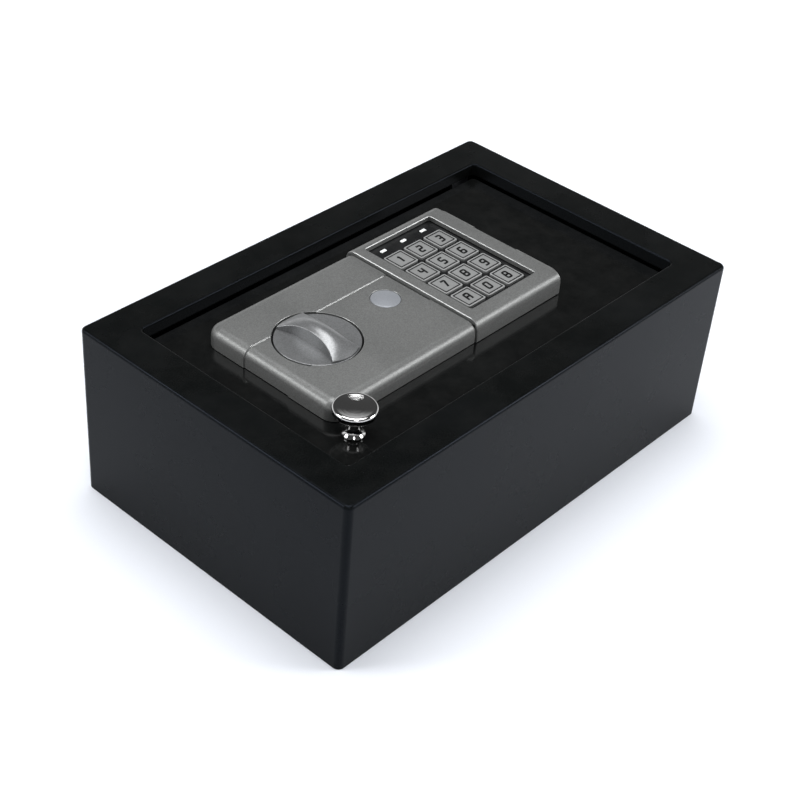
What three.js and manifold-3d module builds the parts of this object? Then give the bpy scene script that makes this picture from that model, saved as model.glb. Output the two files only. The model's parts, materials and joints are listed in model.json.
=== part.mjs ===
// Top-opening drawer safe: a welded steel box with a lid plate sunk in its top,
// hinged at one short side and locked at the other by two round bolts.
// Sizes are in millimetres. X runs along the long side, Y across it and Z up.
// The origin is the middle of the underside.

import * as THREE from 'three';
import { mergeVertices } from 'three/addons/utils/BufferGeometryUtils.js';
import Module from 'manifold-3d';

const wasm = await Module();
wasm.setup();

// Clearances
const seatGap = 0.3;
const runGap = 0.15;
const overCut = 1;

// Steel body
const bodyLength = 320;
const bodyDepth = 200;
const bodyHeight = 110;
const sheet = 2;
const cornerRadius = 4;
const topEdgeRadius = 2.2;
const flangeWidth = 23;
const lipDepth = 8;
const openingRadius = 3;
const bendRadius = 1.4;

// Floor pan and mat
const panRim = 10;
const anchorSpacing = 200;
const anchorRadius = 5;
const matThickness = 3;
const matHoleRadius = 7;

// Lid plate and its hinge
const lidRecess = 9;
const lidThickness = 3;
const lidGap = 1.5;
const lidCornerRadius = 2;
const lidEdgeBevel = 0.5;
const pinRadius = 2.5;
const pinHeadRadius = 4;
const pinHeadThickness = 1.5;
const pinReach = 1.5;
const pinBevel = 0.6;
const hingeDrop = 7.5;
const hingeInset = 8.5;
const earThickness = 3;
const earRadius = 5.5;
const earFoot = 9;
const bracketThickness = 3;
const bracketRadius = 6.5;
const bracketHeel = 4;
const bracketWeldWidth = 11;

// Lid rests and bolt keeper, welded behind the lip at the free end
const restReach = 6;
const restWidth = 12;
const restInset = 5;
const keeperMargin = 14;
const keeperHoleGap = 1;
const keeperRim = 4;

// Lock housing, measured up from the lid's top face. What lies along the lid is
// placed from its free edge, or from the piece that it belongs to.
const housingInset = 23.5;
const housingLength = 188.5;
const housingNear = -44;
const housingFar = 54.4;
const housingHeight = 12;
const housingCorner = 9;
const housingFillet = 5;
const housingWall = 2.4;
const endLipHeight = 13.7;
const endLipWidth = 4.6;
const bandNear = -10;
const bandFar = 23.5;
const bandDepth = 0.6;
const baseWeb = 1.5;

// Keypad bezel and window
const bezelLength = 73.6;
const bezelHeight = 14;
const bezelProud = 0.8;
const bezelSkin = 3.2;
const bezelEdge = 0.8;
const windowWidth = 55.6;
const windowDepth = 81;
const windowInset = 7.4;
const windowY = 7.1;
const windowCorner = 1.2;
const plateThickness = 1.5;
const plateMargin = 2.8;

// Keys, lights, silicone mat and circuit board
const keyColumns = 3;
const keyRows = 4;
const keyPitch = 17;
const keySize = 14.6;
const keyCorner = 1.2;
const keyProud = 1.1;
const keyBevel = 0.5;
const keyFlange = 0.7;
const keyFlangeThickness = 1.4;
const keyTravel = 0.8;
const keypadShiftX = -0.2;
const keypadShiftY = -3.6;
const lightRise = 39.3;
const lightWidth = 4.2;
const lightDepth = 2;
const lightProud = 0.3;
const lightEdge = 0.2;
const boardThickness = 1.6;
const boardMargin = 4;
const matPadThickness = 2.4;

// Turn knob, spindle and crank
const knobInset = 36.8;
const knobY = 5.4;
const knobRadius = 23.8;
const knobGap = 1.1;
const knobSink = 0.7;
const knobEdge = 0.5;
const knobDish = 0.7;
const knobSkirt = 2.2;
const knobSkirtDepth = 8;
const knobFace = 3;
const knobHub = 4;
const knobUnder = 1;
const knobWellWall = 1.6;
const gripHeight = 7.4;
const gripCrown = 1.6;
const gripWaist = 11.2;
const gripEnd = 24.4;
const gripFlare = 3;
const spindleRadius = 6;
const spindleGrip = 7;
const spindleSquare = 8;
const crankRadius = 12;
const crankHubRadius = 9;
const crankEndRadius = 5.5;
const crankThickness = 2.5;
const crankDrop = 5;
const crankPinRadius = 3;
const crankStartAngle = 60;
const spindleScrewHead = 5;
const spindleScrewThickness = 1.8;
const spindleScrewBevel = 1;

// Bolt work, measured down from the lid's top face
const boltRadius = 5;
const boltSpread = 27;
const boltDrop = 16.5;
const boltThrow = 12;
const boltTipBevel = 1.2;
const boltProud = 3;
const boltTenonRadius = 3;
const tenonProud = 1;
const boltHoleGap = 0.4;
const carriageThickness = 2;
const carriageDrop = 10.8;
const carriageFlangeDepth = 12;
const carriageHalfWidth = 36.5;
const carriageReach = 29;
const tailWidth = 10;
const tailStart = 15;
const tailReach = 63;
const crankSlotGap = 0.5;
const crankSlotLength = 9.5;
const crankPinReach = 3;
const guideRadius = 2.5;
const guideHeadRadius = 4.5;
const guideHeadThickness = 3;
const guideHeadBevel = 0.8;
const guideGap = 0.5;
const guideFromKnob = [[-25, -22.4], [9, 27.6]];

// Solenoid that holds the carriage
const coilRadius = 6.7;
const coilLength = 18;
const coilFlange = 1.5;
const windingInset = 1;
const solenoidFromKnob = 42;
const solenoidWidth = 20;
const solenoidSheet = 1.5;
const solenoidDepth = 17;
const plungerRadius = 3;
const plungerTravel = 4;
const plungerTail = 1.5;
const plungerBevel = 1;
const notchGap = 0.5;

// Override lock under the round cover
const lockFromBezel = 18;
const lockY = 7.5;
const barrelRadius = 8;
const barrelTop = 9.6;
const barrelDrop = 14;
const plugRadius = 5.5;
const keywayWidth = 1.4;
const keywayLength = 8;
const keywayDepth = 7;
const camReach = 9;
const camHalfWidth = 3.8;
const camThickness = 2;
const coverRadius = 8.6;
const coverThickness = 1.5;
const coverEdge = 0.4;
const coverDome = 0.9;

// Chrome pull knob
const pullInset = 26.5;
const pullY = -54.5;
const pullBaseRadius = 6;
const pullBaseHeight = 0.8;
const pullFootHeight = 2.3;
const pullFootFlare = 1;
const pullStemRadius = 3.4;
const pullStemLow = 5.4;
const pullStemHigh = 8.6;
const pullNeckHeight = 11;
const pullNeckFlare = 1.4;
const pullHeadRadius = 12;
const pullHeadRound = 1.6;
const pullHeight = 18.4;
const pullHeadThickness = 5.2;
const pullDish = 1.1;
const pullScrewRadius = 2;
const pullScrewHead = 4;
const pullScrewHeadThickness = 2;

// Mechanism cover under the lid
const coverInset = 5.5;
const coverLength = 212;
const coverOverhang = 2.8;
const coverDepth = 25;
const coverSheet = 1.2;
const coverCorner = 4;
const studRadius = 3.5;
const studInset = 6;
const coverScrewRadius = 1.5;
const coverScrewHead = 3.2;
const coverScrewHeadThickness = 1.6;
const coverScrewReach = 7;

// Batteries, their box and its sliding door
const cellRadius = 7.1;
const cellLength = 49.4;
const cellEdge = 0.6;
const cellNub = 1.1;
const cellNubRadius = 2.7;
const cellPitch = 15;
const cellCount = 4;
const cellBoxInset = 38;
const cellBoxY = 5;
const cellBoxLength = 54;
const cellBoxWall = 1.5;
const doorThickness = 1.7;
const doorLap = 3;
const railThickness = 1.5;
const railLap = 2;
const ridgeCount = 4;
const ridgePitch = 2.4;
const ridgeInset = 6;
const ridgeWidth = 1;
const ridgeLength = 20;
const ridgeProud = 0.8;

// Reset button
const resetFromCells = 48;
const resetInset = 13;
const resetRadius = 3;
const resetProud = 1.5;
const resetBevel = 0.5;
const resetFlange = 1.4;
const resetFlangeThickness = 1.2;

// Places worked out from the sizes above
const openHalfX = bodyLength / 2 - flangeWidth;
const openHalfY = bodyDepth / 2 - flangeWidth;
const lidTop = bodyHeight - lidRecess;
const lidHalfX = openHalfX - lidGap;
const lidHalfY = openHalfY - lidGap;
const hingeX = openHalfX - hingeInset;
const lipBack = sheet + seatGap;
const housingLeft = -lidHalfX + housingInset;
const housingRight = housingLeft + housingLength;
const bezelRight = housingRight - endLipWidth - seatGap;
const bezelLeft = bezelRight - bezelLength;
const windowX = bezelLeft + windowInset + windowWidth / 2;
const keypadX = windowX + keypadShiftX;
const keypadY = windowY + keypadShiftY;
const lightRowY = keypadY + lightRise;
const knobX = housingLeft + knobInset;
const lockX = bezelLeft - lockFromBezel;
const pullX = -lidHalfX + pullInset;
const coverLeft = -lidHalfX + coverInset;
const coverRight = coverLeft + coverLength;
const coverNear = housingNear - coverOverhang;
const coverFar = housingFar + coverOverhang;
const coverTop = -lidThickness - seatGap;
const coverFloor = -coverDepth + coverSheet;
const boltFace = coverLeft + coverSheet + boltThrow + seatGap * 3;
const carriageNear = knobY - carriageHalfWidth;
const carriageFar = knobY + carriageHalfWidth;
const carriageRight = knobX + carriageReach;
const tailLeft = knobX + tailStart;
const tailRight = knobX + tailReach;
const guidePlaces = guideFromKnob.map(([x, y]) => [knobX + x, knobY + y]);
const solenoidX = knobX + solenoidFromKnob;
const cellBoxX = coverRight - cellBoxInset;
const resetX = cellBoxX - resetFromCells;
const resetY = coverFar - resetInset;
const plateTop = bezelHeight - bezelSkin - seatGap;
const plateUnder = plateTop - plateThickness;
const keyFlangeTop = plateUnder - seatGap;
const keyUnder = keyFlangeTop - keyFlangeThickness;
const matTop = keyUnder - keyTravel - seatGap;
const boardTop = matTop - matPadThickness - seatGap;

// Finishes
function finish(color, roughness, metalness) {
  return new THREE.MeshStandardMaterial({ color, roughness, metalness, flatShading: true });
}

const bodyPaint = finish(0x2f3239, 0.45, 0.2);
const lidPaint = finish(0x141616, 0.25, 0.2);
const innerPaint = finish(0x24272b, 0.6, 0.2);
const feltGrey = finish(0x3a3a3d, 0.95, 0);
const housingSilver = finish(0x777b7d, 0.42, 0.6);
const bezelSilver = finish(0x7d8183, 0.42, 0.6);
const knobSilver = finish(0x75797b, 0.35, 0.7);
const coverSilver = finish(0x9aa0a8, 0.45, 0.4);
const plateBlack = finish(0x0e0f10, 0.5, 0);
const keyGrey = finish(0x8a8e8e, 0.5, 0.3);
const lightWhite = finish(0xe8ecec, 0.3, 0);
const chromeBright = finish(0xd0d2d4, 0.08, 1);
const zincSteel = finish(0xa9adb0, 0.38, 0.9);
const boltSteel = finish(0xc2c5c8, 0.22, 1);
const brassTone = finish(0xb59a56, 0.35, 0.9);
const coilCopper = finish(0x8c4a26, 0.5, 0.5);
const siliconeGrey = finish(0x5c6062, 0.8, 0);
const boardGreen = finish(0x1f5a38, 0.5, 0);
const mouldedBlack = finish(0x1b1c1e, 0.6, 0);
const cellBlue = finish(0x2c4f7d, 0.4, 0.3);
const resetRed = finish(0xb3201c, 0.4, 0);

// Closed geometry with merged corners, no needle triangles and its faces pointing out
function closed(geometry) {
  const bare = new THREE.BufferGeometry();
  bare.setAttribute('position', geometry.getAttribute('position'));
  if (geometry.index) {
    bare.setIndex(geometry.index);
  }
  const merged = mergeVertices(bare, 1e-4);
  const index = merged.index.array;
  const kept = [];
  for (let i = 0; i < index.length; i += 3) {
    const [a, b, c] = [index[i], index[i + 1], index[i + 2]];
    if (a !== b && b !== c && c !== a) {
      kept.push(a, b, c);
    }
  }
  const at = merged.getAttribute('position');
  const corner = (k) => new THREE.Vector3().fromBufferAttribute(at, k);
  let volume = 0;
  for (let i = 0; i < kept.length; i += 3) {
    volume += corner(kept[i]).dot(corner(kept[i + 1]).cross(corner(kept[i + 2])));
  }
  if (volume < 0) {
    for (let i = 0; i < kept.length; i += 3) {
      [kept[i], kept[i + 1]] = [kept[i + 1], kept[i]];
    }
  }
  merged.setIndex(kept);
  return merged;
}

function toSolid(geometry) {
  const shape = closed(geometry);
  return new wasm.Manifold(new wasm.Mesh({
    numProp: 3,
    vertProperties: new Float32Array(shape.getAttribute('position').array),
    triVerts: new Uint32Array(shape.index.array),
  }));
}

function toGeometry(solid) {
  const mesh = solid.getMesh();
  const geometry = new THREE.BufferGeometry();
  geometry.setAttribute('position', new THREE.BufferAttribute(new Float32Array(mesh.vertProperties), 3));
  geometry.setIndex(new THREE.BufferAttribute(new Uint32Array(mesh.triVerts), 1));
  return geometry;
}

function join(first, ...others) {
  return toGeometry(others.reduce((sum, next) => sum.add(toSolid(next)), toSolid(first)));
}

function cut(first, ...tools) {
  return toGeometry(tools.reduce((rest, tool) => rest.subtract(toSolid(tool)), toSolid(first)));
}

function common(first, second) {
  return toGeometry(toSolid(first).intersect(toSolid(second)));
}

// Basic shapes
function block(x0, x1, y0, y1, z0, z1) {
  const geometry = new THREE.BoxGeometry(x1 - x0, y1 - y0, z1 - z0);
  return geometry.translate((x0 + x1) / 2, (y0 + y1) / 2, (z0 + z1) / 2);
}

function roundRect(x0, x1, y0, y1, radius) {
  const shape = new THREE.Shape();
  shape.absarc(x1 - radius, y0 + radius, radius, -Math.PI / 2, 0, false);
  shape.absarc(x1 - radius, y1 - radius, radius, 0, Math.PI / 2, false);
  shape.absarc(x0 + radius, y1 - radius, radius, Math.PI / 2, Math.PI, false);
  shape.absarc(x0 + radius, y0 + radius, radius, Math.PI, Math.PI * 1.5, false);
  return shape;
}

function slab(shape, z0, z1, curveSegments = 4) {
  const geometry = new THREE.ExtrudeGeometry(shape, { depth: z1 - z0, bevelEnabled: false, curveSegments });
  return geometry.translate(0, 0, z0);
}

function roundSlab(x0, x1, y0, y1, radius, z0, z1) {
  return slab(roundRect(x0, x1, y0, y1, radius), z0, z1);
}

// A plate whose top and bottom edges have a small bevel
function bevelledSlab(x0, x1, y0, y1, radius, z0, z1, bevel, curveSegments = 4) {
  const inner = roundRect(x0 + bevel, x1 - bevel, y0 + bevel, y1 - bevel, radius);
  const geometry = new THREE.ExtrudeGeometry(inner, {
    depth: z1 - z0 - 2 * bevel,
    bevelSize: bevel,
    bevelThickness: bevel,
    bevelSegments: 1,
    curveSegments,
  });
  return geometry.translate(0, 0, z0 + bevel);
}

// A shape drawn in X and Z, run along Y
function slabAlongY(shape, y0, y1, curveSegments = 6) {
  const geometry = new THREE.ExtrudeGeometry(shape, { depth: y1 - y0, bevelEnabled: false, curveSegments });
  return geometry.rotateX(Math.PI / 2).translate(0, y1, 0);
}

// A turned piece: rows of [radius, height], run round Z
function turned(rows, segments = 24) {
  const points = rows.map(([radius, height]) => new THREE.Vector2(radius, height));
  return new THREE.LatheGeometry(points, segments).rotateX(Math.PI / 2);
}

function rod(radius, z0, z1, segments = 24) {
  return turned([[0, z0], [radius, z0], [radius, z1], [0, z1]], segments);
}

function rodAlongY(radius, y0, y1, segments = 16) {
  return rod(radius, -y1, -y0, segments).rotateX(Math.PI / 2);
}

function rodAlongX(radius, x0, x1, segments = 20) {
  return rod(radius, x0, x1, segments).rotateY(Math.PI / 2);
}

// Corner points of a rounded rectangle, the same count for any size
function ringPoints(halfX, halfY, radius, steps) {
  const points = [];
  for (let quarter = 0; quarter < 4; quarter += 1) {
    const signX = quarter === 0 || quarter === 3 ? 1 : -1;
    const signY = quarter < 2 ? 1 : -1;
    for (let step = 0; step <= steps; step += 1) {
      const angle = (quarter + step / steps) * Math.PI / 2;
      points.push([
        signX * (halfX - radius) + radius * Math.cos(angle),
        signY * (halfY - radius) + radius * Math.sin(angle),
      ]);
    }
  }
  return points;
}

// Stacked rounded rectangles, each row {halfX, halfY, radius, z}, joined in order.
// A looped stack is a frame with a hole, and the other has flat ends.
function stacked(rows, steps, looped) {
  const rings = rows.map((row) => ringPoints(row.halfX, row.halfY, row.radius, steps));
  const count = rings[0].length;
  const positions = [];
  rings.forEach((ring, level) => ring.forEach(([x, y]) => positions.push(x, y, rows[level].z)));
  const index = [];
  const last = looped ? rings.length : rings.length - 1;
  for (let level = 0; level < last; level += 1) {
    const above = (level + 1) % rings.length;
    for (let i = 0; i < count; i += 1) {
      const j = (i + 1) % count;
      const [a, b] = [level * count + i, level * count + j];
      const [c, d] = [above * count + i, above * count + j];
      index.push(a, b, d, a, d, c);
    }
  }
  if (!looped) {
    const top = (rings.length - 1) * count;
    for (let i = 1; i < count - 1; i += 1) {
      index.push(0, i + 1, i);
      index.push(top, top + i, top + i + 1);
    }
  }
  const geometry = new THREE.BufferGeometry();
  geometry.setAttribute('position', new THREE.Float32BufferAttribute(positions, 3));
  geometry.setIndex(index);
  return geometry;
}

// Quarter turn of an edge: steps of [how far in, how far down] for a radius
function quarterTurn(radius, steps) {
  const turns = [];
  for (let step = 0; step <= steps; step += 1) {
    const angle = step / steps * Math.PI / 2;
    turns.push([radius * (1 - Math.cos(angle)), radius * (1 - Math.sin(angle))]);
  }
  return turns;
}

function addPart(parent, name, geometry, material, x = 0, y = 0, z = 0) {
  const mesh = new THREE.Mesh(closed(geometry), material);
  mesh.name = name;
  mesh.position.set(x, y, z);
  parent.add(mesh);
  return mesh;
}

const safe = new THREE.Group();
const lid = new THREE.Group();
lid.position.set(0, 0, lidTop);
safe.add(lid);

// Steel body: walls, rounded top edge, flange, and the lip bent down round the opening
function bodyShell() {
  const row = (inset, z, radius) => ({
    halfX: bodyLength / 2 - inset,
    halfY: bodyDepth / 2 - inset,
    radius,
    z,
  });
  const rows = [row(0, 0, cornerRadius)];
  quarterTurn(topEdgeRadius, 3).forEach(([inward, down]) => {
    rows.push(row(inward, bodyHeight - down, cornerRadius - inward));
  });
  quarterTurn(bendRadius, 3).reverse().forEach(([inward, down]) => {
    rows.push(row(flangeWidth - inward, bodyHeight - down, openingRadius + inward));
  });
  rows.push(row(flangeWidth, bodyHeight - lipDepth, openingRadius));
  rows.push(row(flangeWidth - sheet, bodyHeight - lipDepth, openingRadius + sheet));
  rows.push(row(flangeWidth - sheet, bodyHeight - sheet, openingRadius + sheet));
  rows.push(row(sheet, bodyHeight - sheet, cornerRadius - sheet));
  rows.push(row(sheet, 0, cornerRadius - sheet));
  return stacked(rows, 5, true);
}
addPart(safe, 'body_shell', bodyShell(), bodyPaint);

// Floor pan: a shallow tray welded inside the walls, with two anchor holes
const panHalfX = bodyLength / 2 - sheet - seatGap;
const panHalfY = bodyDepth / 2 - sheet - seatGap;
const panCorner = cornerRadius - sheet;

function anchorHoles(radius) {
  return [-1, 1].map((side) => (
    rod(radius, -overCut, sheet + matThickness, 20).translate(side * anchorSpacing / 2, 0, 0)
  ));
}

function floorPan() {
  const innerX = panHalfX - sheet;
  const innerY = panHalfY - sheet;
  return cut(
    roundSlab(-panHalfX, panHalfX, -panHalfY, panHalfY, panCorner, 0, panRim),
    roundSlab(-innerX, innerX, -innerY, innerY, panCorner / 2, sheet, panRim + overCut),
    ...anchorHoles(anchorRadius),
  );
}
addPart(safe, 'floor_pan', floorPan(), innerPaint);

function floorMat() {
  const matHalfX = panHalfX - sheet - seatGap;
  const matHalfY = panHalfY - sheet - seatGap;
  return cut(
    roundSlab(-matHalfX, matHalfX, -matHalfY, matHalfY, panCorner, 0, matThickness),
    ...anchorHoles(matHoleRadius),
  );
}
addPart(safe, 'floor_mat', floorMat(), feltGrey, 0, 0, sheet + seatGap);

// Lid plate with two ears bent down for the hinge pins and four weld studs for the cover
const studPlaces = [
  [coverLeft + studInset, coverNear + studInset],
  [coverRight - studInset, coverNear + studInset],
  [coverRight - studInset, coverFar - studInset],
  [coverLeft + studInset, coverFar - studInset],
];

function hingeEar(yInner) {
  const top = hingeDrop - lidThickness + lidEdgeBevel;
  const shape = new THREE.Shape();
  shape.moveTo(earRadius, top);
  shape.lineTo(-earFoot, top);
  shape.absarc(0, 0, earRadius, Math.PI * 1.1, Math.PI * 2, false);
  const ear = slabAlongY(shape, 0, earThickness);
  const bore = rodAlongY(pinRadius + runGap, -overCut, earThickness + overCut);
  return cut(ear, bore).translate(hingeX, yInner, -hingeDrop);
}

function lidPlate() {
  const plate = bevelledSlab(
    -lidHalfX, lidHalfX, -lidHalfY, lidHalfY, lidCornerRadius, -lidThickness, 0, lidEdgeBevel,
  );
  const holes = [
    rod(spindleRadius + seatGap, -lidThickness - overCut, overCut, 20).translate(knobX, knobY, 0),
    rod(barrelRadius + seatGap, -lidThickness - overCut, overCut, 20).translate(lockX, lockY, 0),
    rod(pullScrewRadius + seatGap, -lidThickness - overCut, overCut, 12).translate(pullX, pullY, 0),
  ];
  const studs = studPlaces.map(([x, y]) => {
    const stud = rod(studRadius, coverFloor + seatGap, -lidThickness + overCut, 12);
    const hole = rod(
      coverScrewRadius + seatGap, coverFloor - overCut, coverFloor + coverScrewReach + seatGap, 10,
    );
    return cut(stud, hole).translate(x, y, 0);
  });
  const ears = [hingeEar(-lidHalfY), hingeEar(lidHalfY - earThickness)];
  return join(cut(plate, ...holes), ...ears, ...studs);
}
addPart(lid, 'lid_panel', lidPlate(), lidPaint);

// Hinge pins, headed inside the ears, and the brackets they turn in, welded behind the lip
const bracketY = openHalfY + lipBack;

function hingePin() {
  const shankEnd = bracketY + bracketThickness + pinReach;
  const headFace = lidHalfY - earThickness - seatGap;
  const rows = [
    [0, headFace - pinHeadThickness],
    [pinHeadRadius, headFace - pinHeadThickness],
    [pinHeadRadius, headFace],
    [pinRadius, headFace],
    [pinRadius, shankEnd - pinBevel],
    [pinRadius - pinBevel, shankEnd],
    [0, shankEnd],
  ];
  return turned(rows, 16);
}
const pinBack = hingePin().rotateX(-Math.PI / 2);
const pinFront = hingePin().rotateX(Math.PI / 2);
addPart(lid, 'hinge_pin_back', pinBack, zincSteel, hingeX, 0, -hingeDrop);
addPart(lid, 'hinge_pin_front', pinFront, zincSteel, hingeX, 0, -hingeDrop);

function hingeBracket() {
  const top = lidRecess - sheet - seatGap + hingeDrop;
  const heel = -bracketRadius - bracketHeel;
  const shape = new THREE.Shape();
  shape.moveTo(bracketRadius, top);
  shape.lineTo(heel, top);
  shape.lineTo(heel, top - sheet * 2);
  shape.lineTo(-bracketRadius, 0);
  shape.absarc(0, 0, bracketRadius, Math.PI, Math.PI * 2, false);
  const web = cut(
    slabAlongY(shape, 0, bracketThickness),
    rodAlongY(pinRadius + runGap, -overCut, bracketThickness + overCut),
  );
  const weldFlange = block(
    heel, bracketRadius, 0, bracketThickness + bracketWeldWidth, top - sheet, top,
  );
  return join(web, weldFlange);
}
const bracketZ = lidTop - hingeDrop;
addPart(safe, 'hinge_bracket_back', hingeBracket(), innerPaint, hingeX, bracketY, bracketZ);
const frontBracket = hingeBracket().scale(1, -1, 1);
addPart(safe, 'hinge_bracket_front', frontBracket, innerPaint, hingeX, -bracketY, bracketZ);

// Behind the lip at the free end: two angles that the lid rests on, and the bolt keeper
const lipBackX = -openHalfX - lipBack;
const weldTop = bodyHeight - sheet - seatGap;

function lidRest() {
  const under = lidTop - lidThickness - seatGap;
  const angle = new THREE.Shape();
  angle.moveTo(lipBackX - sheet, weldTop);
  angle.lineTo(lipBackX - sheet, under - sheet);
  angle.lineTo(lipBackX + sheet + restReach, under - sheet);
  angle.lineTo(lipBackX + sheet + restReach, under);
  angle.lineTo(lipBackX, under);
  angle.lineTo(lipBackX, weldTop);
  return slabAlongY(angle, -restWidth / 2, restWidth / 2);
}
const restY = lidHalfY - restInset - restWidth / 2;
addPart(safe, 'lid_rest_front', lidRest(), innerPaint, 0, -restY, 0);
addPart(safe, 'lid_rest_back', lidRest(), innerPaint, 0, restY, 0);

const boltPlaces = [knobY - boltSpread, knobY + boltSpread];
const boltHeight = lidTop - boltDrop;

function boltKeeper() {
  const half = boltRadius + keeperHoleGap;
  const plate = block(
    lipBackX - sheet, lipBackX,
    boltPlaces[0] - keeperMargin, boltPlaces[1] + keeperMargin,
    boltHeight - half - keeperRim, weldTop,
  );
  const windows = boltPlaces.map((y) => block(
    lipBackX - sheet - overCut, lipBackX + overCut, y - half, y + half, boltHeight - half, boltHeight + half,
  ));
  return cut(plate, ...windows);
}
addPart(safe, 'bolt_keeper', boltKeeper(), innerPaint);

// Lock housing: one moulding with soft edges, a shallow centre band and a raised end lip.
// The inset shrinks it all round, for the band and for the hollow.
function housingBlock(inset, height, fillet, z0) {
  const centreX = (housingLeft + housingRight) / 2;
  const centreY = (housingNear + housingFar) / 2;
  const row = (inward, z) => ({
    halfX: (housingRight - housingLeft) / 2 - inset - inward,
    halfY: (housingFar - housingNear) / 2 - inset - inward,
    radius: Math.max(housingCorner - inset - inward, 1),
    z,
  });
  const rows = [row(0, z0)];
  quarterTurn(fillet, 5).forEach(([inward, down]) => rows.push(row(inward, height - down)));
  return stacked(rows, 6, false).translate(centreX, centreY, 0);
}

function bandedBlock(height, x0, x1) {
  const reach = overCut * 2;
  const band = block(x0, x1, bandNear, bandFar, -reach, height + reach);
  const full = common(
    housingBlock(0, height, housingFillet, seatGap),
    block(x0, x1, housingNear - reach, housingFar + reach, -reach, height + reach),
  );
  const sunk = common(housingBlock(bandDepth, height - bandDepth, housingFillet, seatGap), band);
  return join(cut(full, band), sunk);
}

const housingSplit = bezelLeft - seatGap * 2;
const lipStart = bezelRight + seatGap;
const bezelInnerNear = housingNear - bezelProud + housingWall + seatGap;
const bezelInnerFar = housingFar + bezelProud - housingWall - seatGap;

function lockHousing() {
  const main = bandedBlock(housingHeight, housingLeft - overCut, housingSplit);
  const hollow = common(
    housingBlock(housingWall, housingHeight - housingWall, housingFillet - housingWall, -overCut),
    block(
      housingLeft, housingSplit - housingWall, housingNear, housingFar, -overCut * 2, housingHeight,
    ),
  );
  const well = turned([
    [knobRadius + knobGap, housingHeight - knobSkirtDepth],
    [knobRadius + knobGap + knobWellWall, housingHeight - knobSkirtDepth],
    [knobRadius + knobGap + knobWellWall, housingHeight - bandDepth - overCut],
    [knobRadius + knobGap, housingHeight - bandDepth - overCut],
    [knobRadius + knobGap, housingHeight - knobSkirtDepth],
  ], 48).translate(knobX, knobY, 0);
  const knobHole = rod(knobRadius + knobGap, -overCut, housingHeight + overCut, 48);
  const coverHole = rod(coverRadius + seatGap, -overCut, housingHeight + overCut, 32);
  const shell = cut(
    join(cut(main, hollow), well),
    knobHole.translate(knobX, knobY, 0),
    coverHole.translate(lockX, lockY, 0),
  );
  const lip = bandedBlock(endLipHeight, lipStart, housingRight + overCut);
  const web = block(
    housingSplit - overCut, lipStart + overCut, bezelInnerNear, bezelInnerFar, seatGap, baseWeb,
  );
  return join(shell, web, lip);
}
addPart(lid, 'lock_housing', lockHousing(), housingSilver);

// Keypad bezel: an arched cover across the housing, with the key window and its own end walls
function bezelSection(inset, height, bottom) {
  const [y0, y1] = [housingNear - bezelProud + inset, housingFar + bezelProud - inset];
  const radius = housingFillet - inset / 2;
  const shape = new THREE.Shape();
  shape.moveTo(y0, bottom);
  shape.lineTo(y1, bottom);
  shape.absarc(y1 - radius, height - radius, radius, 0, Math.PI / 2, false);
  shape.absarc(y0 + radius, height - radius, radius, Math.PI / 2, Math.PI, false);
  return shape;
}

// A section drawn in Y and Z, run along X
function alongX(geometry) {
  const axes = new THREE.Matrix4().makeBasis(
    new THREE.Vector3(0, 1, 0), new THREE.Vector3(0, 0, 1), new THREE.Vector3(1, 0, 0),
  );
  return geometry.applyMatrix4(axes);
}

function keypadBezel() {
  const outer = alongX(new THREE.ExtrudeGeometry(
    bezelSection(bezelEdge, bezelHeight - bezelEdge, seatGap + bezelEdge),
    {
      depth: bezelRight - bezelLeft - 2 * bezelEdge,
      bevelSize: bezelEdge,
      bevelThickness: bezelEdge,
      bevelSegments: 2,
      curveSegments: 6,
    },
  )).translate(bezelLeft + bezelEdge, 0, 0);
  const inner = alongX(new THREE.ExtrudeGeometry(
    bezelSection(housingWall, bezelHeight - bezelSkin, -overCut),
    { depth: bezelRight - bezelLeft + 2 * overCut, bevelEnabled: false, curveSegments: 4 },
  )).translate(bezelLeft - overCut, 0, 0);
  const opening = roundSlab(
    windowX - windowWidth / 2, windowX + windowWidth / 2,
    windowY - windowDepth / 2, windowY + windowDepth / 2,
    windowCorner, 0, bezelHeight + overCut,
  );
  return cut(outer, inner, opening);
}
addPart(lid, 'keypad_bezel', keypadBezel(), bezelSilver);

// Key places, row by row from the far side, and the lights above the columns
const labels = ['1', '2', '3', '4', '5', '6', '7', '8', '9', 'A', '0', 'B'];
const columnX = (column) => keypadX + (column - (keyColumns - 1) / 2) * keyPitch;
const rowY = (row) => keypadY + ((keyRows - 1) / 2 - row) * keyPitch;
const keyPlaces = labels.map((label, i) => ({
  label,
  x: columnX(i % keyColumns),
  y: rowY(Math.floor(i / keyColumns)),
}));
const plateLeft = windowX - windowWidth / 2 - plateMargin;
const plateRight = windowX + windowWidth / 2 + plateMargin;
const plateNear = windowY - windowDepth / 2 - plateMargin;
const plateFar = windowY + windowDepth / 2 + plateMargin;

function keypadPlate() {
  const plate = roundSlab(
    plateLeft, plateRight, plateNear, plateFar, windowCorner, plateUnder, plateTop,
  );
  const half = keySize / 2 + seatGap;
  const keyHoles = keyPlaces.map(({ x, y }) => (
    block(x - half, x + half, y - half, y + half, plateUnder - overCut, plateTop + overCut)
  ));
  const halfWidth = lightWidth / 2 + seatGap;
  const halfDepth = lightDepth / 2 + seatGap;
  const lightHoles = [0, 1, 2].map((column) => block(
    columnX(column) - halfWidth, columnX(column) + halfWidth,
    lightRowY - halfDepth, lightRowY + halfDepth,
    plateUnder - overCut, plateTop + overCut,
  ));
  return cut(plate, ...keyHoles, ...lightHoles);
}
addPart(lid, 'keypad_plate', keypadPlate(), plateBlack);

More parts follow.
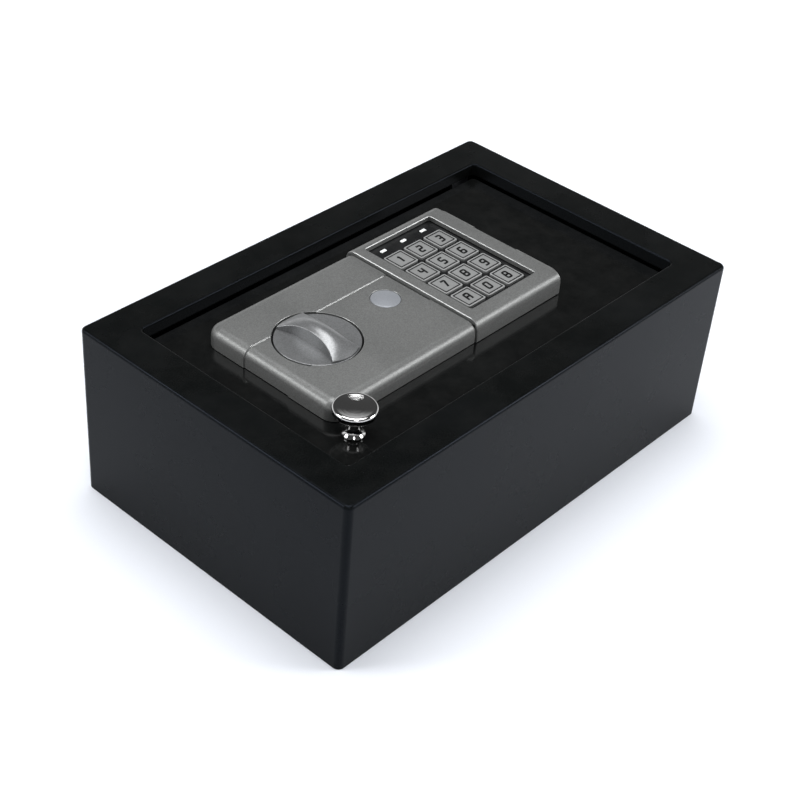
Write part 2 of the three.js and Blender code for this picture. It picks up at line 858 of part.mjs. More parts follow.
function indicatorLight() {
  return bevelledSlab(
    -lightWidth / 2, lightWidth / 2, -lightDepth / 2, lightDepth / 2,
    lightEdge, 0, plateThickness + lightProud, lightEdge, 1,
  );
}
[0, 1, 2].forEach((column) => {
  addPart(lid, `light_${column + 1}`, indicatorLight(), lightWhite, columnX(column), lightRowY, plateUnder);
});

// Keys: a cap that stands through the plate on a wider foot
function keyCap() {
  const half = keySize / 2;
  const foot = half + keyFlange;
  const top = plateTop + keyProud - keyUnder;
  return join(
    bevelledSlab(-half, half, -half, half, keyCorner, 0, top, keyBevel, 2),
    block(-foot, foot, -foot, foot, 0, keyFlangeThickness),
  );
}
keyPlaces.forEach(({ label, x, y }) => {
  addPart(lid, `key_${label}`, keyCap(), keyGrey, x, y, keyUnder);
});

const pad = roundSlab(
  plateLeft, plateRight, plateNear, plateFar, windowCorner, matTop - matPadThickness, matTop,
);
addPart(lid, 'key_pad', pad, siliconeGrey);
const board = roundSlab(
  plateLeft - boardMargin / 2, plateRight + boardMargin / 2,
  plateNear - boardMargin, plateFar + boardMargin / 4,
  windowCorner, boardTop - boardThickness, boardTop,
);
addPart(lid, 'circuit_board', board, boardGreen);

// Turn knob: a dished disc with a skirt, and a waisted grip that arches from rim to rim
const knobTop = housingHeight - knobSink;

function gripBar() {
  const slices = 14;
  const crownSteps = 6;
  const foot = knobTop - knobFace / 2;
  const positions = [];
  for (let slice = 0; slice <= slices; slice += 1) {
    const along = -1 + 2 * slice / slices;
    const rise = 1 - along * along;
    const half = (gripWaist + (gripEnd - gripWaist) * Math.abs(along) ** gripFlare) / 2;
    const edge = knobTop + gripHeight * rise;
    positions.push([-half, along, foot]);
    for (let step = 0; step <= crownSteps; step += 1) {
      const across = -1 + 2 * step / crownSteps;
      const crown = gripCrown * (1 - across * across) * (1 + 3 * rise) / 4;
      positions.push([half * across, along, edge + crown]);
    }
    positions.push([half, along, foot]);
  }
  const count = crownSteps + 3;
  const index = [];
  for (let slice = 0; slice < slices; slice += 1) {
    for (let i = 0; i < count; i += 1) {
      const j = (i + 1) % count;
      const [a, b] = [slice * count + i, slice * count + j];
      index.push(a, b, b + count, a, b + count, a + count);
    }
  }
  for (let i = 1; i < count - 1; i += 1) {
    const end = slices * count;
    index.push(0, i + 1, i, end, end + i, end + i + 1);
  }
  const flat = positions.flatMap(([x, along, z]) => [x, along * knobRadius, z]);
  const geometry = new THREE.BufferGeometry();
  geometry.setAttribute('position', new THREE.Float32BufferAttribute(flat, 3));
  geometry.setIndex(index);
  return geometry;
}

function turnKnob() {
  const boreTop = spindleGrip + seatGap;
  const disc = turned([
    [0, boreTop],
    [spindleRadius + runGap, boreTop],
    [spindleRadius + runGap, knobUnder],
    [spindleRadius + knobHub, knobUnder],
    [spindleRadius + knobHub, knobTop - knobFace],
    [knobRadius - knobSkirt, knobTop - knobFace],
    [knobRadius - knobSkirt, knobTop - knobSkirtDepth],
    [knobRadius, knobTop - knobSkirtDepth],
    [knobRadius, knobTop - knobEdge],
    [knobRadius - knobEdge, knobTop],
    [knobRadius - knobEdge * 3, knobTop],
    [knobRadius / 2, knobTop - knobDish],
    [0, knobTop - knobDish],
  ], 44);
  const gripTop = knobTop + gripHeight + gripCrown + overCut;
  return join(disc, common(gripBar(), rod(knobRadius - knobEdge, 0, gripTop, 44)));
}
addPart(lid, 'turn_knob', turnKnob(), knobSilver, knobX, knobY, 0);

// Spindle with a square end, the crank arm on it and the screw that keeps the arm on
const crankTop = -crankDrop;
const crankUnder = crankTop - crankThickness;
const spindleEnd = crankUnder - seatGap;
const crankPinEnd = -carriageDrop - carriageThickness - crankPinReach;

function knobSpindle() {
  const half = spindleSquare / 2;
  const square = block(-half, half, -half, half, spindleEnd, crankTop + overCut);
  square.rotateZ(THREE.MathUtils.degToRad(crankStartAngle));
  return join(rod(spindleRadius, crankTop + seatGap, spindleGrip), square);
}
addPart(lid, 'knob_spindle', knobSpindle(), zincSteel, knobX, knobY, 0);

function crankArm() {
  const half = spindleSquare / 2 + seatGap;
  const hub = rod(crankHubRadius, crankUnder, crankTop);
  const end = rod(crankEndRadius, crankUnder, crankTop).translate(crankRadius, 0, 0);
  const web = block(0, crankRadius, -crankEndRadius, crankEndRadius, crankUnder, crankTop);
  const pin = rod(crankPinRadius, crankPinEnd, crankUnder + overCut).translate(crankRadius, 0, 0);
  const square = block(-half, half, -half, half, crankUnder - overCut, crankTop + overCut);
  const arm = cut(join(hub, end, web, pin), square);
  return arm.rotateZ(THREE.MathUtils.degToRad(crankStartAngle));
}
addPart(lid, 'crank_arm', crankArm(), zincSteel, knobX, knobY, 0);

const screwSeat = spindleEnd - seatGap;
const spindleScrew = turned([
  [0, screwSeat],
  [spindleScrewHead, screwSeat],
  [spindleScrewHead, screwSeat - spindleScrewThickness + spindleScrewBevel],
  [spindleScrewHead - spindleScrewBevel, screwSeat - spindleScrewThickness],
  [0, screwSeat - spindleScrewThickness],
], 20);
addPart(lid, 'spindle_screw', spindleScrew, zincSteel, knobX, knobY, 0);

// Bolt carriage: a slotted plate with a flange that carries the bolts and a notched tail
const carriageTop = -carriageDrop;
const carriageUnder = carriageTop - carriageThickness;
const crankPinX = knobX + crankRadius * Math.cos(THREE.MathUtils.degToRad(crankStartAngle));
const crankPinLow = crankRadius * Math.sin(THREE.MathUtils.degToRad(crankStartAngle));
const crankPinY = knobY + (crankPinLow + crankRadius) / 2;

function throughPlate(x0, x1, y0, y1) {
  return block(x0, x1, y0, y1, carriageUnder - overCut, carriageTop + overCut);
}

function boltCarriage() {
  const plate = block(
    boltFace, carriageRight, carriageNear, carriageFar, carriageUnder, carriageTop,
  );
  const tail = block(
    tailLeft, tailRight, carriageFar - overCut, carriageFar + tailWidth, carriageUnder, carriageTop,
  );
  const tailStep = throughPlate(
    carriageRight, tailRight + overCut, carriageFar - overCut * 2, carriageFar,
  );
  const flange = block(
    boltFace, boltFace + carriageThickness, carriageNear, carriageFar,
    carriageTop - carriageFlangeDepth, carriageTop,
  );
  const slotHalf = crankPinRadius + crankSlotGap;
  const crankSlot = throughPlate(
    crankPinX - slotHalf, crankPinX + slotHalf,
    crankPinY - crankSlotLength / 2, crankPinY + crankSlotLength / 2,
  );
  const guideHalf = guideRadius + guideGap;
  const guideSlots = guidePlaces.map(([x, y]) => (
    throughPlate(x - guideHalf, x + guideHalf + boltThrow, y - guideHalf, y + guideHalf)
  ));
  const notchHalf = plungerRadius + notchGap;
  const notches = [0, boltThrow].map((shift) => throughPlate(
    solenoidX + shift - notchHalf, solenoidX + shift + notchHalf,
    carriageFar - overCut, carriageFar + plungerTravel + notchGap,
  ));
  const tenonHoles = boltPlaces.map((y) => (
    rodAlongX(boltTenonRadius + seatGap, boltFace - overCut, boltFace + carriageThickness + overCut, 16)
      .translate(0, y, -boltDrop)
  ));
  return cut(
    join(plate, flange, tail), tailStep, crankSlot, ...guideSlots, ...notches, ...tenonHoles,
  );
}
addPart(lid, 'bolt_carriage', boltCarriage(), zincSteel);

function lockBolt() {
  const tip = coverLeft - boltProud;
  const root = boltFace - seatGap;
  const tenonEnd = boltFace + carriageThickness + tenonProud;
  return turned([
    [0, tip],
    [boltRadius - boltTipBevel, tip],
    [boltRadius, tip + boltTipBevel],
    [boltRadius, root],
    [boltTenonRadius, root],
    [boltTenonRadius, tenonEnd],
    [0, tenonEnd],
  ], 20).rotateY(Math.PI / 2);
}
addPart(lid, 'bolt_front', lockBolt(), boltSteel, 0, boltPlaces[0], -boltDrop);
addPart(lid, 'bolt_back', lockBolt(), boltSteel, 0, boltPlaces[1], -boltDrop);

// Shouldered posts under the lid that guide the carriage's slots
function guidePost() {
  const headTop = carriageUnder - seatGap;
  return turned([
    [0, headTop - guideHeadThickness],
    [guideHeadRadius - guideHeadBevel, headTop - guideHeadThickness],
    [guideHeadRadius, headTop - guideHeadThickness + guideHeadBevel],
    [guideHeadRadius, headTop],
    [guideRadius, headTop],
    [guideRadius, -lidThickness - seatGap],
    [0, -lidThickness - seatGap],
  ], 14);
}
guidePlaces.forEach(([x, y], i) => {
  addPart(lid, `guide_post_${i + 1}`, guidePost(), zincSteel, x, y, 0);
});

// Solenoid: bent frame, coil and the plunger that drops into the carriage's notches
const plungerDrop = carriageDrop + carriageThickness / 2;
const solenoidFar = carriageFar - sheet;
const coilFar = solenoidFar - solenoidSheet - seatGap;
const solenoidNear = coilFar - coilLength - seatGap - solenoidSheet;

function solenoidFrame() {
  const half = solenoidWidth / 2;
  const top = coverTop;
  const bottom = -lidThickness - solenoidDepth;
  const roof = block(-half, half, solenoidNear, solenoidFar, top - solenoidSheet, top);
  const nearPlate = block(-half, half, solenoidNear, solenoidNear + solenoidSheet, bottom, top);
  const farPlate = block(-half, half, solenoidFar - solenoidSheet, solenoidFar, bottom, top);
  const bore = rodAlongY(plungerRadius + seatGap, solenoidNear + sheet, solenoidFar + overCut);
  return cut(join(roof, nearPlate, farPlate), bore.translate(0, 0, -plungerDrop));
}
addPart(lid, 'solenoid_frame', solenoidFrame(), zincSteel, solenoidX, 0, 0);

function solenoidCoil() {
  const winding = coilRadius - windingInset;
  const [y0, y1] = [coilFar - coilLength, coilFar];
  const bore = plungerRadius + seatGap;
  return turned([
    [bore, y0],
    [coilRadius, y0],
    [coilRadius, y0 + coilFlange],
    [winding, y0 + coilFlange],
    [winding, y1 - coilFlange],
    [coilRadius, y1 - coilFlange],
    [coilRadius, y1],
    [bore, y1],
    [bore, y0],
  ], 18).rotateX(-Math.PI / 2);
}
addPart(lid, 'solenoid_coil', solenoidCoil(), coilCopper, solenoidX, 0, -plungerDrop);

function solenoidPlunger() {
  const tip = carriageFar - seatGap * 2;
  const start = coilFar - coilLength + plungerTail;
  return turned([
    [0, start],
    [plungerRadius, start],
    [plungerRadius, tip - plungerBevel],
    [plungerRadius - plungerBevel, tip],
    [0, tip],
  ], 14).rotateX(-Math.PI / 2);
}
addPart(lid, 'solenoid_plunger', solenoidPlunger(), boltSteel, solenoidX, 0, -plungerDrop);

// Override lock: barrel, plug with keyway and cam, and the round cover over it
const lockGroup = new THREE.Group();
lockGroup.position.set(lockX, lockY, 0);
lid.add(lockGroup);

const barrel = turned([
  [plugRadius + runGap, -barrelDrop],
  [barrelRadius, -barrelDrop],
  [barrelRadius, barrelTop],
  [plugRadius + runGap, barrelTop],
  [plugRadius + runGap, -barrelDrop],
], 28);
addPart(lockGroup, 'override_barrel', barrel, brassTone);

function overridePlug() {
  const camTop = -barrelDrop - seatGap;
  const plug = rod(plugRadius, camTop - overCut / 2, barrelTop - seatGap, 28);
  const camBody = block(
    -camHalfWidth, camReach, -camHalfWidth, camHalfWidth, camTop - camThickness, camTop,
  );
  const keyway = block(
    -keywayWidth / 2, keywayWidth / 2, -keywayLength / 2, keywayLength / 2,
    barrelTop - keywayDepth, barrelTop + overCut,
  );
  return cut(join(plug, camBody), keyway);
}
addPart(lockGroup, 'override_plug', overridePlug(), brassTone);

function lockCover() {
  const under = barrelTop + seatGap;
  const rim = under + coverThickness;
  return turned([
    [0, under],
    [coverRadius, under],
    [coverRadius, rim - coverEdge],
    [coverRadius - coverEdge, rim],
    [coverRadius * 0.72, rim + coverDome * 0.5],
    [coverRadius * 0.4, rim + coverDome * 0.88],
    [0, rim + coverDome],
  ], 32);
}
addPart(lockGroup, 'lock_cover', lockCover(), coverSilver);

// Chrome pull knob and the screw that holds it from below
const pullGroup = new THREE.Group();
pullGroup.position.set(pullX, pullY, 0);
lid.add(pullGroup);

function pullKnob() {
  const under = pullHeight - pullHeadThickness;
  const bore = pullScrewRadius + runGap;
  return turned([
    [0, under],
    [bore, under],
    [bore, seatGap],
    [pullBaseRadius, seatGap],
    [pullBaseRadius, seatGap + pullBaseHeight],
    [pullStemRadius + pullFootFlare, seatGap + pullFootHeight],
    [pullStemRadius, pullStemLow],
    [pullStemRadius, pullStemHigh],
    [pullStemRadius + pullNeckFlare, pullNeckHeight],
    [pullHeadRadius * 0.72, under],
    [pullHeadRadius - pullHeadRound * 0.6, under + pullHeadRound * 0.4],
    [pullHeadRadius, under + pullHeadRound],
    [pullHeadRadius, pullHeight - pullHeadRound],
    [pullHeadRadius - pullHeadRound * 0.3, pullHeight - pullHeadRound * 0.3],
    [pullHeadRadius - pullHeadRound * 0.9, pullHeight],
    [pullHeadRadius * 0.6, pullHeight - pullDish * 0.7],
    [0, pullHeight - pullDish],
  ], 28);
}
addPart(pullGroup, 'pull_knob', pullKnob(), chromeBright);

const pullScrewSeat = -lidThickness - seatGap;
const pullScrew = turned([
  [0, pullScrewSeat - pullScrewHeadThickness],
  [pullScrewHead - pullScrewHeadThickness / 2, pullScrewSeat - pullScrewHeadThickness],
  [pullScrewHead, pullScrewSeat - pullScrewHeadThickness / 2],
  [pullScrewHead, pullScrewSeat],
  [pullScrewRadius, pullScrewSeat],
  [pullScrewRadius, pullHeight - pullHeadThickness - seatGap * 2],
  [0, pullHeight - pullHeadThickness - seatGap * 2],
], 16);
addPart(pullGroup, 'pull_knob_screw', pullScrew, zincSteel);

// Mechanism cover: a pressed tray under the lid, with rails for the battery door
const cellBoxHalfX = cellPitch * cellCount / 2;
const cellBoxHalfY = cellBoxLength / 2;
const doorHalfX = cellBoxHalfX + doorLap;
const doorHalfY = cellBoxHalfY + doorLap;
const doorTop = -coverDepth - seatGap;
const doorUnder = doorTop - doorThickness;

function doorRail(side) {
  const inner = doorHalfY + seatGap;
  const outer = inner + railThickness;
  const under = doorUnder - seatGap;
  const wall = block(
    -doorHalfX, doorHalfX, inner, outer, under - railThickness, -coverDepth + coverSheet / 2,
  );
  const hook = block(
    -doorHalfX, doorHalfX, doorHalfY - railLap, outer, under - railThickness, under,
  );
  return join(wall, hook).scale(1, side, 1).translate(cellBoxX, cellBoxY, 0);
}

function mechanismCover() {
  const outer = roundSlab(
    coverLeft, coverRight, coverNear, coverFar, coverCorner, -coverDepth, coverTop,
  );
  const inner = roundSlab(
    coverLeft + coverSheet, coverRight - coverSheet,
    coverNear + coverSheet, coverFar - coverSheet,
    coverCorner - coverSheet, coverFloor, coverTop + overCut,
  );
  const boltHoles = boltPlaces.map((y) => (
    rodAlongX(boltRadius + boltHoleGap, coverLeft - overCut, coverLeft + coverSheet + overCut)
      .translate(0, y, -boltDrop)
  ));
  const screwHoles = studPlaces.map(([x, y]) => (
    rod(coverScrewRadius + seatGap, -coverDepth - overCut, coverFloor + overCut, 12)
      .translate(x, y, 0)
  ));
  const cellOpening = block(
    cellBoxX - cellBoxHalfX, cellBoxX + cellBoxHalfX,
    cellBoxY - cellBoxHalfY, cellBoxY + cellBoxHalfY,
    -coverDepth - overCut, coverFloor + overCut,
  );
  const resetHole = rod(resetRadius + seatGap, -coverDepth - overCut, coverFloor + overCut, 20);
  return cut(
    join(cut(outer, inner), doorRail(1), doorRail(-1)),
    ...boltHoles, ...screwHoles, cellOpening, resetHole.translate(resetX, resetY, 0),
  );
}
addPart(lid, 'mechanism_cover', mechanismCover(), innerPaint);

function coverScrew() {
  const seat = -coverDepth - seatGap;
  return turned([
    [0, seat - coverScrewHeadThickness],
    [coverScrewHead - 1, seat - coverScrewHeadThickness],
    [coverScrewHead, seat - coverScrewHeadThickness * 0.4],
    [coverScrewHead, seat],
    [coverScrewRadius, seat],
    [coverScrewRadius, coverFloor + coverScrewReach],
    [0, coverFloor + coverScrewReach],
  ], 12);
}
studPlaces.forEach(([x, y], i) => {
  addPart(lid, `cover_screw_${i + 1}`, coverScrew(), zincSteel, x, y, 0);
});

// Battery box, open below, with four cells lying side by side, and its sliding door
const cellGroup = new THREE.Group();
cellGroup.position.set(cellBoxX, cellBoxY, 0);
lid.add(cellGroup);

function batteryBox() {
  const [outX, outY] = [cellBoxHalfX + cellBoxWall, cellBoxHalfY + cellBoxWall];
  const outer = block(-outX, outX, -outY, outY, coverFloor + seatGap, coverTop);
  const roof = coverTop - cellBoxWall;
  const inner = block(
    -cellBoxHalfX, cellBoxHalfX, -cellBoxHalfY, cellBoxHalfY, coverFloor - overCut, roof,
  );
  return cut(outer, inner);
}
addPart(cellGroup, 'battery_box', batteryBox(), mouldedBlack);

function batteryCell() {
  const end = cellLength / 2;
  return turned([
    [0, -end],
    [cellRadius - cellEdge, -end],
    [cellRadius, cellEdge - end],
    [cellRadius, end - cellEdge],
    [cellRadius - cellEdge, end],
    [cellNubRadius, end],
    [cellNubRadius, end + cellNub],
    [0, end + cellNub],
  ], 16).rotateX(-Math.PI / 2);
}
const cellZ = coverTop - cellBoxWall - seatGap - cellRadius;
for (let i = 0; i < cellCount; i += 1) {
  const mesh = addPart(
    cellGroup, `battery_${i + 1}`, batteryCell(), cellBlue,
    (i - (cellCount - 1) / 2) * cellPitch, 0, cellZ,
  );
  mesh.rotation.z = i % 2 === 0 ? 0 : Math.PI;
}

function batteryDoor() {
  const plate = block(-doorHalfX, doorHalfX, -doorHalfY, doorHalfY, doorUnder, doorTop);
  const ridges = [];
  for (let i = 0; i < ridgeCount; i += 1) {
    const x = -doorHalfX + ridgeInset + i * ridgePitch;
    ridges.push(block(
      x, x + ridgeWidth, -ridgeLength / 2, ridgeLength / 2, doorUnder - ridgeProud, doorUnder + overCut / 2,
    ));
  }
  return join(plate, ...ridges);
}
addPart(cellGroup, 'battery_door', batteryDoor(), mouldedBlack);

// Reset button, pressed from inside the open lid
const resetButton = turned([
  [0, -coverDepth - resetProud],
  [resetRadius - resetBevel, -coverDepth - resetProud],
  [resetRadius, -coverDepth - resetProud + resetBevel],
  [resetRadius, coverFloor + seatGap],
  [resetRadius + resetFlange, coverFloor + seatGap],
  [resetRadius + resetFlange, coverFloor + seatGap + resetFlangeThickness],
  [0, coverFloor + seatGap + resetFlangeThickness],
], 20);
addPart(lid, 'reset_button', resetButton, resetRed, resetX, resetY, 0);

export default safe;
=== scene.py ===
import json
import math

import bmesh
import bpy
from mathutils import Matrix, Vector


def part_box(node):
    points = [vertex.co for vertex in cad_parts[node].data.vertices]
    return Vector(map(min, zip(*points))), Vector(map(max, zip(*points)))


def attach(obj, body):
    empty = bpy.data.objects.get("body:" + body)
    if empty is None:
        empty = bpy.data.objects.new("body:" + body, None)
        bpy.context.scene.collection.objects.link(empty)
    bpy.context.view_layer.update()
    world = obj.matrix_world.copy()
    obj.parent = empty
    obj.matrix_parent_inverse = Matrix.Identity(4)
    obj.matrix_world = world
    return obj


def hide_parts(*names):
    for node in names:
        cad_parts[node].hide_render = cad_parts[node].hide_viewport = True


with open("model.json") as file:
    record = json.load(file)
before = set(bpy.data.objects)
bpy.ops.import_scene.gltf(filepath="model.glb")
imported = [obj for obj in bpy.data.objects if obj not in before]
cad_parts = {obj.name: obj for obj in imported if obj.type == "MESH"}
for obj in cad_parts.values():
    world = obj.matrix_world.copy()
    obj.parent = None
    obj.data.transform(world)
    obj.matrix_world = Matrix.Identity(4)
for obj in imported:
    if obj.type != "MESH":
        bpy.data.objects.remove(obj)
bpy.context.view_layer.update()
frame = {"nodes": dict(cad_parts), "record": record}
nodes = frame["nodes"]
print("Frame loaded with", len(nodes), "parts")

mm = 0.001
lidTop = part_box("lid_panel")[1].z    # everything on the lid is measured up from here
bpy.context.scene.view_settings.view_transform = "Standard"


# ---- camera, floor and lamps

cameraSetup = {
    "place": (-0.5938, -0.4854, 0.6195),
    "turn": (52.578, -3.894, -47.331),    # degrees
    "lens": 73.9,
    "sensor": 36,
}

stageSetup = {
    "floorSize": 6.0,
    "floorColour": (0.86, 0.89, 0.95),
    "skyHigh": (0.06, 0.06, 0.06),
    "skyLow": (1.0, 1.0, 1.0),
    "paleUpTo": 0.16,    # heights on a sphere of radius 1 round the object
    "darkFrom": 0.46,
    "skyStrength": 1.0,
}

lampSetup = [
    {"name": "topSoftbox", "place": (0.1, 0.2, 2.5), "size": 2.0, "watts": 60},
    {"name": "leftSoftbox", "place": (-1.6, 1.3, 1.5), "size": 1.0, "watts": 26},
    {"name": "rightSoftbox", "place": (1.5, -1.6, 1.3), "size": 1.0, "watts": 28},
    {"name": "frontSoftbox", "place": (-0.95, -1.2, 1.95), "size": 0.5, "watts": 8},
]


def addCamera():
    data = bpy.data.cameras.new("photoCamera")
    data.lens = cameraSetup["lens"]
    data.sensor_width = cameraSetup["sensor"]
    camera = bpy.data.objects.new("photoCamera", data)
    camera.location = cameraSetup["place"]
    camera.rotation_euler = [math.radians(angle) for angle in cameraSetup["turn"]]
    bpy.context.collection.objects.link(camera)
    bpy.context.scene.camera = camera


def addLamps():
    for lamp in lampSetup:
        data = bpy.data.lights.new(lamp["name"], "AREA")
        data.shape = "DISK"
        data.size = lamp["size"]
        data.energy = lamp["watts"]
        obj = bpy.data.objects.new(lamp["name"], data)
        obj.location = lamp["place"]
        obj.rotation_euler = (-Vector(lamp["place"])).to_track_quat("-Z", "Y").to_euler()
        bpy.context.collection.objects.link(obj)


def addNode(tree, kind, inputs=None, **settings):
    node = tree.nodes.new(kind)
    for key, value in settings.items():
        setattr(node, key, value)
    for key, value in (inputs or {}).items():
        if isinstance(value, bpy.types.NodeSocket):
            tree.links.new(value, node.inputs[key])
        else:
            node.inputs[key].default_value = value
    return node


def addSky():
    world = bpy.data.worlds.new("softRoom")
    world.use_nodes = True
    bpy.context.scene.world = world
    tree = world.node_tree
    direction = addNode(tree, "ShaderNodeTexCoord").outputs["Generated"]
    height = addNode(tree, "ShaderNodeSeparateXYZ", {0: direction}).outputs["Z"]
    rise = addNode(tree, "ShaderNodeMapRange", {
        "Value": height, "From Min": stageSetup["paleUpTo"], "From Max": stageSetup["darkFrom"],
    }).outputs[0]
    sky = addNode(tree, "ShaderNodeMix", {
        0: rise, 6: (*stageSetup["skyLow"], 1), 7: (*stageSetup["skyHigh"], 1),
    }, data_type="RGBA")
    background = tree.nodes["Background"]
    background.inputs["Strength"].default_value = stageSetup["skyStrength"]
    tree.links.new(sky.outputs[2], background.inputs["Color"])


def addFloor():
    half = stageSetup["floorSize"] / 2
    corners = [(-half, -half, 0), (half, -half, 0), (half, half, 0), (-half, half, 0)]
    mesh = bpy.data.meshes.new("studioFloor")
    mesh.from_pydata(corners, [], [(0, 1, 2, 3)])
    floor = bpy.data.objects.new("studioFloor", mesh)
    bpy.context.collection.objects.link(floor)
    material = bpy.data.materials.new("paleFloor")
    material.use_nodes = True
    shader = material.node_tree.nodes["Principled BSDF"]
    shader.inputs["Base Color"].default_value = (*stageSetup["floorColour"], 1)
    shader.inputs["Roughness"].default_value = 0.9
    shader.inputs["Specular IOR Level"].default_value = 0.1
    mesh.materials.append(material)


addCamera()
addLamps()
addSky()
addFloor()
print("Camera, lamps and floor are in place")


# ---- shared effects

def newGroup(name, inputs, outputs):
    group = bpy.data.node_groups.new(name, "ShaderNodeTree")
    for label, kind, value in inputs:
        socket = group.interface.new_socket(name=label, in_out="INPUT", socket_type=kind)
        socket.default_value = value
    for label in outputs:
        group.interface.new_socket(name=label, in_out="OUTPUT", socket_type="NodeSocketFloat")
    return group, group.nodes.new("NodeGroupInput"), group.nodes.new("NodeGroupOutput")


def groupMath(tree, operation, first, second):
    return addNode(tree, "ShaderNodeMath", {0: first, 1: second}, operation=operation).outputs[0]


def surfacePoint(tree):
    return addNode(tree, "ShaderNodeTexCoord").outputs["Object"]


# Fine paint or moulding grain, with slow patches of lighter and darker tone
def grainGroup():
    group, given, result = newGroup("fineGrain", [
        ("Scale", "NodeSocketFloat", 1500.0), ("Patch", "NodeSocketFloat", 20.0),
    ], ["Height", "Tone", "Patches"])
    point = surfacePoint(group)
    fine = addNode(group, "ShaderNodeTexNoise", {
        "Vector": point, "Scale": given.outputs["Scale"], "Detail": 3.0, "Roughness": 0.6,
    })
    patches = addNode(group, "ShaderNodeTexNoise", {
        "Vector": point, "Scale": given.outputs["Patch"], "Detail": 5.0, "Roughness": 0.55,
    })
    group.links.new(fine.outputs[0], result.inputs["Height"])
    speck = addNode(group, "ShaderNodeMapRange", {
        "Value": fine.outputs[0], "From Min": 0.35, "From Max": 0.65,
    })
    group.links.new(speck.outputs[0], result.inputs["Tone"])
    spread = addNode(group, "ShaderNodeMapRange", {
        "Value": patches.outputs[0], "From Min": 0.3, "From Max": 0.7,
    })
    group.links.new(spread.outputs[0], result.inputs["Patches"])
    return group


# Metal flakes in a lacquer: small cells, each with a tone of its own
def flakeGroup():
    group, given, result = newGroup("metalFlake", [("Scale", "NodeSocketFloat", 4000.0)], ["Tone"])
    cells = addNode(group, "ShaderNodeTexVoronoi", {
        "Vector": surfacePoint(group), "Scale": given.outputs["Scale"],
    })
    split = addNode(group, "ShaderNodeSeparateColor", {0: cells.outputs["Color"]})
    group.links.new(split.outputs[0], result.inputs["Tone"])
    return group


# Dust that has settled on whatever faces up
def dustGroup():
    group, given, result = newGroup("settledDust", [
        ("Amount", "NodeSocketFloat", 0.2), ("Scale", "NodeSocketFloat", 60.0),
    ], ["Mask"])
    normal = addNode(group, "ShaderNodeTexCoord").outputs["Normal"]
    up = addNode(group, "ShaderNodeSeparateXYZ", {0: normal}).outputs["Z"]
    facing = addNode(group, "ShaderNodeMapRange", {"Value": up, "From Min": 0.7, "From Max": 1.0})
    clouds = addNode(group, "ShaderNodeTexNoise", {
        "Vector": surfacePoint(group), "Scale": given.outputs["Scale"], "Detail": 8.0, "Roughness": 0.7,
    })
    spread = addNode(group, "ShaderNodeMapRange", {
        "Value": clouds.outputs[0], "From Min": 0.4, "From Max": 0.8,
    })
    mask = groupMath(group, "MULTIPLY", facing.outputs[0], spread.outputs[0])
    group.links.new(groupMath(group, "MULTIPLY", mask, given.outputs["Amount"]), result.inputs["Mask"])
    return group


# Brushed or rolled lines along one axis
def lineGroup():
    group, given, result = newGroup("brushedLines", [
        ("Stretch", "NodeSocketVector", (60.0, 3000.0, 3000.0)),
    ], ["Height", "Tone"])
    stretched = addNode(group, "ShaderNodeVectorMath", {
        0: surfacePoint(group), 1: given.outputs["Stretch"],
    }, operation="MULTIPLY")
    streaks = addNode(group, "ShaderNodeTexNoise", {
        "Vector": stretched.outputs[0], "Scale": 1.0, "Detail": 4.0, "Roughness": 0.6,
    })
    group.links.new(streaks.outputs[0], result.inputs["Height"])
    spread = addNode(group, "ShaderNodeMapRange", {
        "Value": streaks.outputs[0], "From Min": 0.35, "From Max": 0.65,
    })
    group.links.new(spread.outputs[0], result.inputs["Tone"])
    return group


# Rings left by turning, round an upright axis
def ringGroup():
    group, given, result = newGroup("turnedRings", [
        ("Centre", "NodeSocketVector", (0.0, 0.0, 0.0)), ("Rings", "NodeSocketFloat", 3000.0),
    ], ["Height", "Tone"])
    offset = addNode(group, "ShaderNodeVectorMath", {
        0: surfacePoint(group), 1: given.outputs["Centre"],
    }, operation="SUBTRACT")
    flat = addNode(group, "ShaderNodeVectorMath", {
        0: offset.outputs[0], 1: (1.0, 1.0, 0.0),
    }, operation="MULTIPLY")
    distance = addNode(group, "ShaderNodeVectorMath", {0: flat.outputs[0]}, operation="LENGTH")
    steps = groupMath(group, "MULTIPLY", distance.outputs["Value"], given.outputs["Rings"])
    rings = addNode(group, "ShaderNodeTexNoise", {"W": steps, "Scale": 1.0, "Detail": 2.0},
                    noise_dimensions="1D")
    group.links.new(rings.outputs[0], result.inputs["Height"])
    spread = addNode(group, "ShaderNodeMapRange", {
        "Value": rings.outputs[0], "From Min": 0.3, "From Max": 0.7,
    })
    group.links.new(spread.outputs[0], result.inputs["Tone"])
    return group


effects = {
    "grain": grainGroup(),
    "flake": flakeGroup(),
    "dust": dustGroup(),
    "lines": lineGroup(),
    "rings": ringGroup(),
}


dustColour = (0.35, 0.34, 0.33)


def mixColours(tree, factor, first, second, blend="MIX"):
    mix = addNode(tree, "ShaderNodeMix", {0: factor}, data_type="RGBA", blend_type=blend)
    for index, value in ((6, first), (7, second)):
        if isinstance(value, bpy.types.NodeSocket):
            tree.links.new(value, mix.inputs[index])
        else:
            mix.inputs[index].default_value = (*value, 1)
    return mix.outputs[2]


